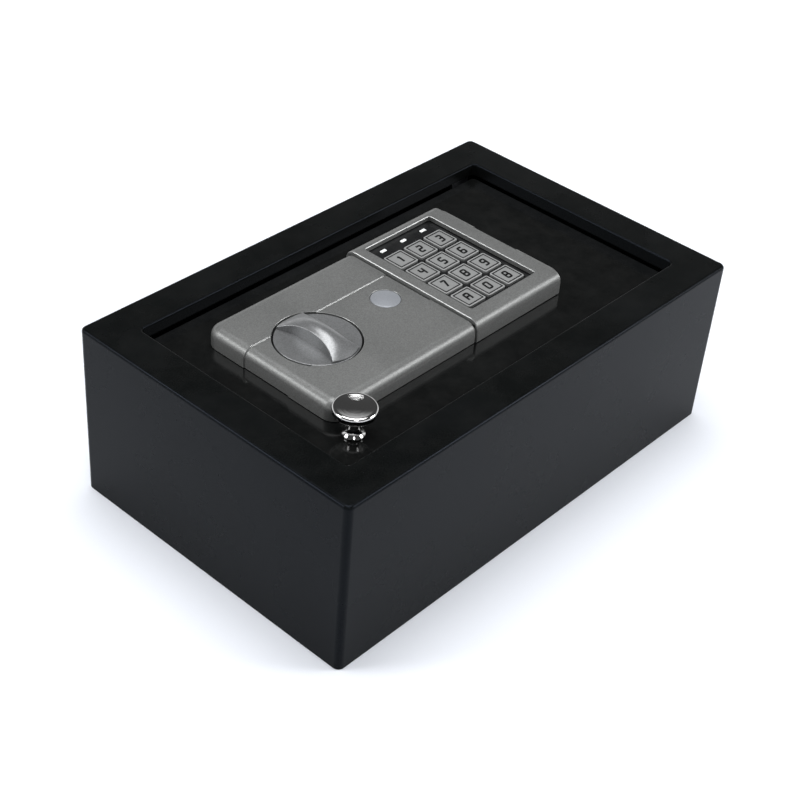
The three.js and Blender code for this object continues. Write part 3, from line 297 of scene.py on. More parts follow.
def buildFinish(name, look):
    material = bpy.data.materials.new(name)
    material.use_nodes = True
    tree = material.node_tree
    shader = tree.nodes["Principled BSDF"]
    for socket, key in (("Metallic", "metallic"), ("Specular IOR Level", "specular"), ("Coat Weight", "coat"),
                        ("Coat Roughness", "coatRough"), ("Sheen Weight", "sheen"),
                        ("Sheen Roughness", "sheenRough")):
        if key in look:
            shader.inputs[socket].default_value = look[key]
    if "tint" in look:
        shader.inputs["Specular Tint"].default_value = (*look["tint"], 1)

    grain = addNode(tree, "ShaderNodeGroup", node_tree=effects["grain"])
    grain.inputs["Scale"].default_value = look["grain"]
    grain.inputs["Patch"].default_value = look.get("patch", 20)
    height = groupMath(tree, "MULTIPLY", grain.outputs["Height"], look.get("grainDepth", 0.02) * mm)
    colour = mixColours(tree, grain.outputs["Patches"], look["colour"], look["shade"])
    tone = grain.outputs["Tone"]

    if "flake" in look:
        flake = addNode(tree, "ShaderNodeGroup", {"Scale": look["flake"]}, node_tree=effects["flake"])
        tone = flake.outputs["Tone"]
    if "lines" in look:
        lines = addNode(tree, "ShaderNodeGroup", {"Stretch": look["lines"]}, node_tree=effects["lines"])
        tone = lines.outputs["Tone"]
        streaks = groupMath(tree, "MULTIPLY", lines.outputs["Height"], look["lineDepth"] * mm)
        height = groupMath(tree, "ADD", height, streaks)
    if "rings" in look:
        rings = addNode(tree, "ShaderNodeGroup", {
            "Centre": look["centre"], "Rings": look["rings"],
        }, node_tree=effects["rings"])
        tone = rings.outputs["Tone"]
        ringHeight = groupMath(tree, "MULTIPLY", rings.outputs["Height"], look["ringDepth"] * mm)
        height = groupMath(tree, "ADD", height, ringHeight)

    low, high = look.get("speck", (0.9, 1.1))
    speck = addNode(tree, "ShaderNodeMapRange", {"Value": tone, "To Min": low, "To Max": high})
    grey = addNode(tree, "ShaderNodeCombineColor", {
        0: speck.outputs[0], 1: speck.outputs[0], 2: speck.outputs[0],
    })
    colour = mixColours(tree, 1.0, colour, grey.outputs[0], "MULTIPLY")

    dust = addNode(tree, "ShaderNodeGroup", {"Amount": look.get("dust", 0.03)}, node_tree=effects["dust"])
    colour = mixColours(tree, dust.outputs["Mask"], colour, dustColour)
    tree.links.new(colour, shader.inputs["Base Color"])

    smooth, dull = look["rough"]
    roughness = addNode(tree, "ShaderNodeMapRange", {
        "Value": grain.outputs["Patches"], "To Min": smooth, "To Max": dull,
    })
    tree.links.new(roughness.outputs[0], shader.inputs["Roughness"])
    bump = addNode(tree, "ShaderNodeBump", {"Height": height, "Distance": 1.0, "Strength": 1.0})
    tree.links.new(bump.outputs[0], shader.inputs["Normal"])
    return material


# ---- finishes, one for each material slot of the record

finishes = {
    "body_paint": {"colour": (0.0025, 0.0029, 0.0027), "shade": (0.004, 0.0045, 0.0045),
                   "rough": (0.24, 0.32), "specular": 0.07, "tint": (0.6, 0.72, 1.0),
                   "grain": 1400, "grainDepth": 0.012,
                   "speck": (0.7, 1.4), "dust": 0.01},
    "lid_paint": {"colour": (0.003, 0.0033, 0.0033), "shade": (0.0045, 0.005, 0.005), "rough": (0.1, 0.15),
                  "specular": 0.3, "grain": 500, "grainDepth": 0.006, "speck": (0.9, 1.1), "dust": 0.015},
    "inner_paint": {"colour": (0.022, 0.024, 0.027), "shade": (0.028, 0.03, 0.033), "rough": (0.5, 0.6),
                    "specular": 0.35, "grain": 1200, "grainDepth": 0.03, "speck": (0.8, 1.2), "dust": 0.04},
    "felt": {"colour": (0.035, 0.035, 0.04), "shade": (0.05, 0.05, 0.055), "rough": (0.95, 1.0),
             "specular": 0.1, "sheen": 0.6, "sheenRough": 0.5, "grain": 2600, "grainDepth": 0.5,
             "speck": (0.4, 1.8), "patch": 40, "dust": 0.08},
    "housing_silver": {"colour": (0.155, 0.159, 0.157), "shade": (0.17, 0.174, 0.172), "rough": (0.38, 0.44),
                       "metallic": 0.5, "specular": 0.5, "grain": 900, "grainDepth": 0.004,
                       "flake": 2300, "speck": (0.8, 1.2), "dust": 0.02},
    "knob_silver": {"colour": (0.2, 0.205, 0.21), "shade": (0.21, 0.215, 0.22), "rough": (0.28, 0.34),
                    "metallic": 0.55, "specular": 0.5, "grain": 900, "grainDepth": 0.003,
                    "flake": 1800, "speck": (0.84, 1.16), "dust": 0.02},
    "cover_silver": {"colour": (0.215, 0.228, 0.25), "shade": (0.23, 0.243, 0.265), "rough": (0.36, 0.42),
                     "metallic": 0.2, "specular": 0.5, "grain": 900, "grainDepth": 0.003,
                     "flake": 3600, "speck": (0.92, 1.08), "dust": 0.02},
    "plate_black": {"colour": (0.006, 0.0065, 0.007), "shade": (0.008, 0.0085, 0.009), "rough": (0.25, 0.32),
                    "specular": 0.2, "grain": 1800, "grainDepth": 0.01, "dust": 0.03},
    "key_grey": {"colour": (0.21, 0.214, 0.214), "shade": (0.23, 0.235, 0.235), "rough": (0.42, 0.5),
                 "metallic": 0.2, "specular": 0.45, "grain": 1600, "grainDepth": 0.006,
                 "flake": 3600, "speck": (0.92, 1.08), "dust": 0.03},
    "light_white": {"colour": (0.8, 0.83, 0.83), "shade": (0.85, 0.87, 0.87), "rough": (0.2, 0.28),
                    "specular": 0.5, "coat": 0.4, "coatRough": 0.1, "grain": 900, "grainDepth": 0.002,
                    "speck": (0.97, 1.03), "dust": 0.0},
    "chrome": {"colour": (0.7, 0.7, 0.7), "shade": (0.74, 0.74, 0.74), "rough": (0.06, 0.1),
               "metallic": 1.0, "grain": 400, "grainDepth": 0.001, "rings": 2200, "ringDepth": 0.03,
               "centre": (-0.109, -0.0545, 0.0), "speck": (0.95, 1.05), "dust": 0.0},
    "zinc_steel": {"colour": (0.38, 0.39, 0.4), "shade": (0.44, 0.45, 0.46), "rough": (0.3, 0.42),
                   "metallic": 0.95, "grain": 500, "grainDepth": 0.01, "patch": 90,
                   "lines": (90, 90, 2200), "lineDepth": 0.004, "speck": (0.85, 1.15), "dust": 0.02},
    "bolt_steel": {"colour": (0.5, 0.51, 0.52), "shade": (0.55, 0.56, 0.57), "rough": (0.16, 0.24),
                   "metallic": 1.0, "grain": 500, "grainDepth": 0.004,
                   "lines": (4200, 60, 60), "lineDepth": 0.003, "speck": (0.9, 1.1), "dust": 0.0},
    "brass": {"colour": (0.5, 0.36, 0.13), "shade": (0.43, 0.3, 0.1), "rough": (0.25, 0.35),
              "metallic": 1.0, "grain": 700, "grainDepth": 0.004, "patch": 120,
              "rings": 2400, "ringDepth": 0.003, "centre": (-0.02, 0.0075, 0.0), "speck": (0.9, 1.1),
              "dust": 0.0},
    "coil_tape": {"colour": (0.26, 0.09, 0.03), "shade": (0.32, 0.12, 0.04), "rough": (0.25, 0.4),
                  "metallic": 0.4, "coat": 0.5, "coatRough": 0.15, "grain": 600, "grainDepth": 0.004,
                  "lines": (40, 3400, 40), "lineDepth": 0.05, "speck": (0.6, 1.3), "dust": 0.0},
    "silicone": {"colour": (0.1, 0.108, 0.112), "shade": (0.12, 0.128, 0.132), "rough": (0.7, 0.8),
                 "specular": 0.35, "grain": 2200, "grainDepth": 0.02, "speck": (0.92, 1.08)},
    "board_green": {"colour": (0.012, 0.09, 0.035), "shade": (0.016, 0.11, 0.045), "rough": (0.3, 0.42),
                    "specular": 0.5, "coat": 0.3, "coatRough": 0.2, "grain": 1400, "grainDepth": 0.008,
                    "lines": (700, 700, 40), "lineDepth": 0.02, "speck": (0.8, 1.2)},
    "moulded_black": {"colour": (0.012, 0.0125, 0.013), "shade": (0.017, 0.0175, 0.018), "rough": (0.5, 0.62),
                      "specular": 0.45, "grain": 2600, "grainDepth": 0.04, "speck": (0.85, 1.15),
                      "dust": 0.04},
    "cell_wrap": {"colour": (0.03, 0.08, 0.2), "shade": (0.035, 0.09, 0.22), "rough": (0.22, 0.3),
                  "specular": 0.5, "coat": 0.5, "coatRough": 0.12, "grain": 800, "grainDepth": 0.003,
                  "speck": (0.95, 1.05)},
    "reset_red": {"colour": (0.42, 0.015, 0.012), "shade": (0.46, 0.02, 0.016), "rough": (0.3, 0.4),
                  "specular": 0.5, "grain": 1800, "grainDepth": 0.01, "speck": (0.95, 1.05)},
}
# Painted highlight: a lighter, shinier copy of the silver, put on the small bevels so that the edges show as
# bright lines
paintedHighlightFinish = {"colour": (0.3, 0.305, 0.305), "shade": (0.34, 0.345, 0.345), "rough": (0.34, 0.42),
              "metallic": 0.7, "grain": 900, "grainDepth": 0.002, "flake": 2400, "speck": (0.8, 1.2),
              "dust": 0.0}
materials = {slot: buildFinish(slot + "Finish", look) for slot, look in finishes.items()}
paintedHighlightMaterial = buildFinish("silverPaintedHighlightFinish", paintedHighlightFinish)

for part in frame["record"]["subparts"]:
    for slot in nodes[part["node"]].material_slots:
        slot.material = materials[part["material_slot"]]
print("Finishes made for", len(materials), "slots")


# ---- mesh tools

def newPiece(name, points, faces):
    mesh = bpy.data.meshes.new(name)
    mesh.from_pydata([Vector(point) * mm for point in points], [], faces)
    piece = bpy.data.objects.new(name, mesh)
    bpy.context.collection.objects.link(piece)
    faceOut(mesh)
    return piece


def faceOut(mesh):
    shape = bmesh.new()
    shape.from_mesh(mesh)
    bmesh.ops.remove_doubles(shape, verts=shape.verts, dist=1e-7)
    bmesh.ops.recalc_face_normals(shape, faces=shape.faces)
    shape.to_mesh(mesh)
    shape.free()


def bake(piece):
    view = bpy.context.evaluated_depsgraph_get()
    mesh = bpy.data.meshes.new_from_object(piece.evaluated_get(view))
    old = piece.data
    piece.modifiers.clear()
    piece.data = mesh
    bpy.data.meshes.remove(old)


def combine(piece, tool, operation="DIFFERENCE"):
    modifier = piece.modifiers.new("shape", "BOOLEAN")
    modifier.operation = operation
    modifier.solver = "EXACT"
    modifier.object = tool
    bake(piece)
    bpy.data.objects.remove(tool)
    return piece


def joinMeshes(piece, *others):
    shape = bmesh.new()
    shape.from_mesh(piece.data)
    for other in others:
        shape.from_mesh(other.data)
        bpy.data.objects.remove(other)
    shape.to_mesh(piece.data)
    shape.free()
    return piece


# Breaks the sharp edges with a small bevel and shades the rest smoothly; when asked, the bevel faces get a
# painted highlight, a lighter copy of the silver
def soften(piece, width, sharpest=40, segments=2, paintedHighlightEdges=False):
    if paintedHighlightEdges:
        piece.data.materials.append(materials["housing_silver"])
        piece.data.materials.append(paintedHighlightMaterial)
    if width:
        bevel = piece.modifiers.new("edges", "BEVEL")
        bevel.width = width * mm
        bevel.segments = segments
        bevel.limit_method = "ANGLE"
        bevel.angle_limit = math.radians(sharpest)
        bevel.use_clamp_overlap = True
        # bevel faces take material 1, the painted highlight: a lighter, shinier copy of the silver
        bevel.material = 1 if paintedHighlightEdges else -1
        bake(piece)
    for polygon in piece.data.polygons:
        polygon.use_smooth = True
    piece.data.set_sharp_from_angle(angle=math.radians(sharpest))
    normals = piece.modifiers.new("normals", "WEIGHTED_NORMAL")
    normals.keep_sharp = True
    normals.weight = 80
    bake(piece)
    return piece


def dress(piece, slot, body, *replaced):
    if not piece.data.materials:
        piece.data.materials.append(None)
    piece.data.materials[0] = materials[slot]
    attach(piece, body)
    if replaced:
        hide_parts(*replaced)
    return piece


def ringPoints(halfX, halfY, radius, steps):
    points = []
    for quarter in range(4):
        signX = 1 if quarter in (0, 3) else -1
        signY = 1 if quarter < 2 else -1
        for step in range(steps + 1):
            angle = (quarter + step / steps) * math.pi / 2
            points.append((signX * (halfX - radius) + radius * math.cos(angle),
                           signY * (halfY - radius) + radius * math.sin(angle)))
    return points


# Rings of points, each a list of the same length, joined one to the next
def loft(name, rings, looped=False):
    count = len(rings[0])
    points = [point for ring in rings for point in ring]
    faces = []
    last = len(rings) if looped else len(rings) - 1
    for level in range(last):
        above = (level + 1) % len(rings)
        for i in range(count):
            j = (i + 1) % count
            faces.append((level * count + i, level * count + j, above * count + j, above * count + i))
    if not looped:
        faces.append(tuple(reversed(range(count))))
        faces.append(tuple(range((len(rings) - 1) * count, len(rings) * count)))
    return newPiece(name, points, faces)


def roundedBlock(name, centre, rows, steps=10, looped=False):
    rings = []
    for row in rows:
        ring = ringPoints(row["halfX"], row["halfY"], row["radius"], steps)
        rings.append([(x + centre[0], y + centre[1], row["z"]) for x, y in ring])
    return loft(name, rings, looped)


def box(name, low, high):
    centre = [(a + b) / 2 for a, b in zip(low, high)]
    half = [(b - a) / 2 for a, b in zip(low, high)]
    ring = [(1, 1), (-1, 1), (-1, -1), (1, -1)]
    rings = [[(centre[0] + x * half[0], centre[1] + y * half[1], z) for x, y in ring]
             for z in (low[2], high[2])]
    return loft(name, rings)


# A turned piece: rows of (radius, height) round an upright axis
def turned(name, centre, rows, segments=96):
    points = []
    faces = []
    for radius, height in rows:
        for i in range(segments):
            angle = i / segments * math.tau
            points.append((centre[0] + radius * math.cos(angle), centre[1] + radius * math.sin(angle),
                           height))
    for level in range(len(rows) - 1):
        for i in range(segments):
            j = (i + 1) % segments
            faces.append((level * segments + i, level * segments + j,
                          (level + 1) * segments + j, (level + 1) * segments + i))
    piece = newPiece(name, points, faces)
    shape = bmesh.new()
    shape.from_mesh(piece.data)
    bmesh.ops.holes_fill(shape, edges=shape.edges)
    bmesh.ops.dissolve_degenerate(shape, edges=shape.edges, dist=1e-8)
    bmesh.ops.recalc_face_normals(shape, faces=shape.faces)
    shape.to_mesh(piece.data)
    shape.free()
    return piece


def quarterTurn(radius, steps):
    return [(radius * (1 - math.cos(step / steps * math.pi / 2)),
             radius * (1 - math.sin(step / steps * math.pi / 2))) for step in range(steps + 1)]


def boxInMm(node):
    low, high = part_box(node)
    return [value / mm for value in low], [value / mm for value in high]


# The middle of a box, seen from above
def middle(low, high):
    return (low[0] + high[0]) / 2, (low[1] + high[1]) / 2


# ---- steel body

# All the shapes below are in mm
shellShape = {"sheet": 2, "corner": 4, "edge": 2.0, "flange": 23, "lip": 8, "opening": 3, "bend": 1.2,
              "hem": 0.4, "cornerEase": 0.8}


def bodyShell():
    s = shellShape
    low, high = boxInMm("body_shell")
    halfX, halfY, top = high[0], high[1], high[2]

    def row(inset, z, radius):
        return {"halfX": halfX - inset, "halfY": halfY - inset, "radius": radius, "z": z}

    rows = [row(s["hem"], 0, s["corner"]), row(0, s["hem"], s["corner"])]
    rows += [row(inward, top - down, s["corner"] - inward * s["cornerEase"])
             for inward, down in quarterTurn(s["edge"], 6)]
    rows += [row(s["flange"] - inward, top - down, s["opening"] + inward)
             for inward, down in reversed(quarterTurn(s["bend"], 5))]
    rows += [row(s["flange"], top - s["lip"] + s["hem"], s["opening"]),
             row(s["flange"] - s["hem"], top - s["lip"], s["opening"] + s["hem"]),
             row(s["flange"] - s["sheet"], top - s["lip"], s["opening"] + s["sheet"]),
             row(s["flange"] - s["sheet"], top - s["sheet"], s["opening"] + s["sheet"]),
             row(s["sheet"], top - s["sheet"], s["corner"] - s["sheet"]),
             row(s["sheet"], 0, s["corner"] - s["sheet"])]
    shell = roundedBlock("bodyShellFine", (0, 0), rows, steps=8, looped=True)
    return dress(soften(shell, 0), "body_paint", "case", "body_shell")


bodyShell()
print("Steel body made")


# ---- lock housing and its end lip

housingShape = {"corner": 9, "fillet": 6, "height": 12, "endHeight": 13.6, "seat": 0.3, "bandNear": -10,
                "bandFar": 23.5, "bandDepth": 0.6, "endWidth": 4.6, "gap": 0.3, "web": 1.5, "edge": 0.45,
                "knobHole": 24.9, "coverHole": 8.9}
cutBelow, cutAbove = 2, 20    # how far a cutting tool reaches past the lid's top, down and up
top = lidTop / mm
housingLow, housingHigh = boxInMm("lock_housing")
knobCentre = middle(*boxInMm("turn_knob"))
coverLow, coverHigh = boxInMm("lock_cover")
coverCentre = middle(coverLow, coverHigh)


def housingBlock(name, inset, height):
    h = housingShape
    halfX = (housingHigh[0] - housingLow[0]) / 2 - inset
    halfY = (housingHigh[1] - housingLow[1]) / 2 - inset

    def row(inward, z):
        return {"halfX": halfX - inward, "halfY": halfY - inward, "z": z,
                "radius": max(h["corner"] - inset - inward, 1)}

    rows = [row(0, top + h["seat"])]
    rows += [row(inward, top + height - down) for inward, down in quarterTurn(h["fillet"], 9)]
    return roundedBlock(name, middle(housingLow, housingHigh), rows, steps=12)


def bandedBlock(name, height, left, right):
    h = housingShape
    reach = 3
    block = housingBlock(name, 0, height)
    keep = box("keep", (left, housingLow[1] - reach, top - reach),
               (right, housingHigh[1] + reach, top + cutAbove))
    combine(block, keep, "INTERSECT")
    band = box("band", (left - reach, h["bandNear"], top - reach),
               (right + reach, h["bandFar"], top + cutAbove))
    combine(band, housingBlock("core", h["bandDepth"], height - h["bandDepth"]))
    return combine(block, band)


def lockHousing():
    h = housingShape
    split = boxInMm("keypad_bezel")[0][0] - h["gap"] * 2
    endStart = housingHigh[0] - h["endWidth"]
    main = bandedBlock("lockHousingFine", h["height"], housingLow[0] - 2, split)
    for centre, radius, segments in ((knobCentre, h["knobHole"], 96), (coverCentre, h["coverHole"], 64)):
        rows = [(radius, top - cutBelow), (radius, top + cutAbove)]
        combine(main, turned("hole", centre, rows, segments))
    end = bandedBlock("endLip", h["endHeight"], endStart, housingHigh[0] + 2)
    web = box("web", (split - 1, housingLow[1] + 3, top + h["seat"]),
              (endStart + 1, housingHigh[1] - 3, top + h["web"]))
    for part in (main, end):
        # the housing's bevels get the painted highlight, a lighter copy of the silver
        soften(part, h["edge"], segments=1, paintedHighlightEdges=True)
    piece = joinMeshes(main, end, web)
    return dress(piece, "housing_silver", "lid", "lock_housing")


lockHousing()
print("Lock housing made")


# ---- keypad bezel

bezelShape = {"fillet": 6, "filletSteps": 8, "edge": 0.6, "wall": 2.4, "skin": 3.2, "windowCorner": 1.2,
              "windowWidth": 55.6, "windowDepth": 81}


def bezelSection(low, high, x):
    radius = bezelShape["fillet"]
    y0, y1, height = low[1], high[1], high[2]
    steps = bezelShape["filletSteps"]
    ring = [(x, y0, low[2]), (x, y1, low[2])]
    for centreY, start in ((y1 - radius, 0), (y0 + radius, math.pi / 2)):
        for step in range(steps + 1):
            angle = start + step / steps * math.pi / 2
            ring.append((x, centreY + radius * math.cos(angle), height - radius + radius * math.sin(angle)))
    return ring


def keypadBezel():
    b = bezelShape
    low, high = boxInMm("keypad_bezel")
    bezel = loft("keypadBezelFine", [bezelSection(low, high, x) for x in (low[0], high[0])])
    hollow = box("hollow", (low[0] - 2, low[1] + b["wall"], low[2] - 2),
                 (high[0] + 2, high[1] - b["wall"], high[2] - b["skin"]))
    combine(bezel, hollow)
    centre = middle(*boxInMm("keypad_plate"))

    def row(z):
        return {"halfX": b["windowWidth"] / 2, "halfY": b["windowDepth"] / 2, "z": z,
                "radius": b["windowCorner"]}

    combine(bezel, roundedBlock("window", centre, [row(low[2]), row(high[2] + 2)], steps=6))
    # the bezel's bevels get the painted highlight, a lighter copy of the silver
    soften(bezel, b["edge"], segments=1, paintedHighlightEdges=True)
    return dress(bezel, "housing_silver", "lid", "keypad_bezel")


keypadBezel()
print("Keypad bezel made")


# ---- turn knob with its arched grip

knobShape = {"radius": 23.8, "top": 11.3, "edge": 0.5, "dish": 0.7, "skirt": 8, "gripHeight": 7.4,
             "crown": 1.6, "waist": 11.2, "end": 24.4, "flare": 3, "crest": 0.5, "crestSteps": 3,
             "slices": 60, "across": 20}    # slices along the grip, and points over it


def turnKnob():
    k = knobShape
    face = top + k["top"]
    rows = [(0, face - k["skirt"]), (k["radius"], face - k["skirt"]), (k["radius"], face - k["edge"])]
    rows += [(k["radius"] - inward, face - down) for inward, down in quarterTurn(k["edge"], 4)][1:]
    rows += [(k["radius"] * share, face - k["dish"] * (1 - share ** 2)) for share in (0.92, 0.75, 0.5, 0.25)]
    rows += [(0, face - k["dish"])]
    disc = turned("turnKnobFine", knobCentre, rows, 128)
    rings = []
    slices = k["slices"]
    for i in range(slices + 1):
        along = -1 + 2 * i / slices
        rise = 1 - along ** 2
        half = (k["waist"] + (k["end"] - k["waist"]) * abs(along) ** k["flare"]) / 2
        edge = face + k["gripHeight"] * rise
        crown = k["crown"] * (1 + 3 * rise) / 4
        ring = [(-half, face - 2)]
        crest = k["crest"]
        for step in range(k["crestSteps"] + 1):
            angle = math.pi - step / k["crestSteps"] * math.pi / 2
            ring.append((-half + crest + crest * math.cos(angle), edge - crest + crest * math.sin(angle)))
        inner = half - crest
        for step in range(1, k["across"]):
            across = -1 + 2 * step / k["across"]
            ring.append((inner * across, edge + crown * (1 - across ** 2)))
        for step in range(k["crestSteps"] + 1):
            angle = math.pi / 2 - step / k["crestSteps"] * math.pi / 2
            ring.append((half - crest + crest * math.cos(angle), edge - crest + crest * math.sin(angle)))
        ring.append((half, face - 2))
        y = knobCentre[1] + along * k["radius"]
        rings.append([(knobCentre[0] + x, y, z) for x, z in ring])
    grip = loft("grip", rings)
    reach = k["radius"] - k["edge"]
    limit = turned("limit", knobCentre, [(reach, face - 3), (reach, face + cutAbove)], 128)
    combine(grip, limit, "INTERSECT")
    combine(disc, grip, "UNION")
    return dress(soften(disc, 0, 38), "knob_silver", "knob", "turn_knob")


turnKnob()
print("Turn knob made")


# ---- round cover of the override lock

coverShape = {"radius": 8.6, "thickness": 1.5, "edge": 0.4, "dome": 0.9}


def lockCover():
    c = coverShape
    rim = coverLow[2] + c["thickness"]
    rows = [(0, coverLow[2]), (c["radius"], coverLow[2]), (c["radius"], rim - c["edge"])]
    rows += [(c["radius"] - inward, rim - down) for inward, down in quarterTurn(c["edge"], 4)][1:]
    shares = [0.93, 0.85, 0.7, 0.5, 0.3, 0.15, 0]
    rows += [(c["radius"] * share, rim + c["dome"] * (1 - share ** 2)) for share in shares]
    cover = turned("lockCoverFine", coverCentre, rows, 72)
    return dress(soften(cover, 0, 38), "cover_silver", "cap", "lock_cover")


lockCover()
print("Lock cover made")


# ---- chrome pull knob

pullShape = {"baseRadius": 6, "stem": 3.4, "head": 12, "height": 18.4, "headThickness": 5.2, "round": 1.6,
             "dish": 1.1, "bore": 2.15}


def pullKnob():
    p = pullShape
    centre = middle(*boxInMm("pull_knob"))
    under = p["height"] - p["headThickness"]
    rows = [(p["bore"], 0.3), (p["baseRadius"] - 0.2, 0.3), (p["baseRadius"], 0.5), (p["baseRadius"], 1.0),
            (p["baseRadius"] - 0.3, 1.2), (p["stem"] + 1.5, 1.9), (p["stem"] + 0.8, 2.8),
            (p["stem"] + 0.2, 4.2), (p["stem"], 5.6), (p["stem"], 8.4), (p["stem"] + 0.4, 9.8),
            (p["stem"] + 1.4, 11), (p["stem"] + 3.2, 12.3), (p["head"] * 0.74, under),
            (p["head"] - 1.2, under + 0.35), (p["head"] - 0.5, under + 0.8), (p["head"] - 0.12, under + 1.3),
            (p["head"], under + 1.9)]
    rows += [(p["head"] - inward, p["height"] - down) for inward, down in quarterTurn(p["round"], 6)]
    inner = p["head"] - p["round"]
    shares = [0.93, 0.8, 0.6, 0.4, 0.2]
    rows += [(inner * share, p["height"] - p["dish"] * (1 - share ** 2)) for share in shares]
    rows += [(0, p["height"] - p["dish"])]
    rows = [(radius, top + height) for radius, height in rows]
    pull = turned("pullKnobFine", centre, rows, 96)
    return dress(soften(pull, 0, 38), "chrome", "lid", "pull_knob")


pullKnob()
print("Pull knob made")


# ---- keys, each a cap with a pale outline, a dark line and its digit

keyShape = {"size": 14.6, "corner": 1.2, "bevel": 0.2, "foot": 1.4, "outline": 0.45, "lineStart": 0.8,
            "lineWidth": 0.8, "lift": 0.03, "digitHeight": 5.8, "digitWidth": 3.1, "stroke": 1.4,
            "slant": 0.12, "turnRadius": 0.9, "outlineCorner": 0.9, "lineCorner": 0.4}

# Each digit as lines through points, across and up in halves of its width and height
digitLines = {
    "0": [[(0, 1), (1, 1), (1, -1), (-1, -1), (-1, 1), (0, 1)]],
    "1": [[(-0.5, 0.6), (0.2, 1), (0.2, -1)]],
    "2": [[(-1, 1), (1, 1), (1, 0), (-1, 0), (-1, -1), (1, -1)]],
    "3": [[(-1, 1), (1, 1), (1, -1), (-1, -1)], [(-0.5, 0), (1, 0)]],
    "4": [[(-1, 1), (-1, 0), (1, 0)], [(0.8, 1), (0.8, -1)]],
    "5": [[(1, 1), (-1, 1), (-1, 0), (1, 0), (1, -1), (-1, -1)]],
    "6": [[(1, 1), (-1, 1), (-1, -1), (1, -1), (1, 0), (-1, 0)]],
    "7": [[(-1, 1), (1, 1), (-0.1, -1)]],
    "8": [[(0, 1), (1, 1), (1, -1), (-1, -1), (-1, 1), (0, 1)], [(-1, 0), (1, 0)]],
    "9": [[(1, 0), (-1, 0), (-1, 1), (1, 1), (1, -1), (-1, -1)]],
    "A": [[(-1, -1), (-1, 1), (1, 1), (1, -1)], [(-1, 0), (1, 0)]],
    "B": [[(-1, 0), (0.8, 0), (0.8, 1), (-1, 1), (-1, -1), (1, -1), (1, 0), (0.6, 0)]],
}
extraFinishes = {
    "key_outline": {"colour": (0.27, 0.275, 0.275), "shade": (0.3, 0.305, 0.305), "rough": (0.4, 0.5),
                    "specular": 0.4, "grain": 1500, "grainDepth": 0.004, "dust": 0.0},
    "key_ink": {"colour": (0.004, 0.0042, 0.0045), "shade": (0.006, 0.0063, 0.0066), "rough": (0.3, 0.4),
                "specular": 0.1, "grain": 2400, "grainDepth": 0.005, "dust": 0.0},
}
inkMaterials = {name: buildFinish(name + "Finish", look) for name, look in extraFinishes.items()}


def frameStrip(outer, inner, corner, z):
    steps = 3
    first = ringPoints(outer, outer, corner, steps)
    second = ringPoints(inner, inner, max(corner - (outer - inner), 0.15), steps)
    count = len(first)
    points = [(x, y, z) for x, y in first] + [(x, y, z) for x, y in second]
    faces = [(i, (i + 1) % count, count + (i + 1) % count, count + i) for i in range(count)]
    return points, faces


# The same line with its corners turned into short arcs
def rounded(line, radius):
    points = [Vector(line[0])]
    for before, corner, after in zip(line, line[1:], line[2:]):
        corner = Vector(corner)
        start, end = Vector(before) - corner, Vector(after) - corner
        start *= min(radius / start.length, 0.5)
        end *= min(radius / end.length, 0.5)
        for step in range(5):
            t = step / 4
            points.append(corner + start * (1 - t) ** 2 + end * t ** 2)
    return points + [Vector(line[-1])]


def digitMesh(label, z):
    k = keyShape
    points = []
    faces = []
    for line in digitLines[label]:
        scaled = [(x * k["digitWidth"] / 2, y * k["digitHeight"] / 2) for x, y in line]
        path = rounded(scaled, k["turnRadius"])
        start = len(points)
        height = z + 0.01 * digitLines[label].index(line)
        for i, point in enumerate(path):
            along = path[min(i + 1, len(path) - 1)] - path[max(i - 1, 0)]
            side = Vector((-along.y, along.x)).normalized() * k["stroke"] / 2
            for edge in (point + side, point - side):
                points.append((edge.x + edge.y * k["slant"], edge.y, height))
        faces += [(start + i * 2, start + i * 2 + 1, start + i * 2 + 3, start + i * 2 + 2)
                  for i in range(len(path) - 1)]
    return points, faces


def addKey(label):
    k = keyShape
    node = "key_" + label
    low, high = boxInMm(node)
    centre = middle(low, high)
    half = k["size"] / 2

    def row(inset, z, radius):
        return {"halfX": half - inset, "halfY": half - inset, "radius": radius, "z": z}

    rows = [row(0, low[2] + 0.5, k["corner"])]
    rows += [row(inward, high[2] - down, max(k["corner"] - inward, 0.3))
             for inward, down in quarterTurn(k["bevel"], 3)]
    cap = roundedBlock(node + "_cap", centre, rows, steps=4)
    foot = box("foot", (low[0], low[1], low[2]), (high[0], high[1], low[2] + k["foot"]))
    soften(joinMeshes(cap, foot), 0, 35)
    dress(cap, "key_grey", node, node)
    cap.data.materials.append(inkMaterials["key_outline"])
    cap.data.materials.append(inkMaterials["key_ink"])
    shape = bmesh.new()
    shape.from_mesh(cap.data)
    outer = half - k["bevel"]
    line = outer - k["lineStart"]
    face = high[2] + k["lift"]
    strips = [
        (1, frameStrip(outer, outer - k["outline"], k["outlineCorner"], face)),
        (2, frameStrip(line, line - k["lineWidth"], k["lineCorner"], face)),
        (2, digitMesh(label, face)),
    ]
    for index, (points, faces) in strips:
        made = [shape.verts.new(Vector((x + centre[0], y + centre[1], z)) * mm) for x, y, z in points]
        for corners in faces:
            shape.faces.new([made[i] for i in corners]).material_index = index
    shape.to_mesh(cap.data)
    shape.free()


for label in digitLines:
    addKey(label)
print("Keys made")


# ---- bolts, cells and the cover's screws, all turned along their own axis

boltShape = {"radius": 5, "chamfer": 1.2, "shoulder": 17.1, "tenon": 3}
cellShape = {"radius": 7.1, "body": 49.4, "nub": 2.75, "crimp": 0.9}
screwShape = {"radius": 3.2, "head": 1.6, "shank": 1.5, "slotWidth": 0.7, "slotLength": 3.6, "slotDepth": 0.9}


# Rows of (radius, distance) along an axis from a starting point, in the frame's directions
def turnedAlong(name, start, axis, rows, segments=64):
    piece = turned(name, (0, 0), rows, segments)
    turn = Vector((0, 0, 1)).rotation_difference(Vector(axis)).to_matrix().to_4x4()
    piece.data.transform(Matrix.Translation(Vector(start) * mm) @ turn)
    return piece


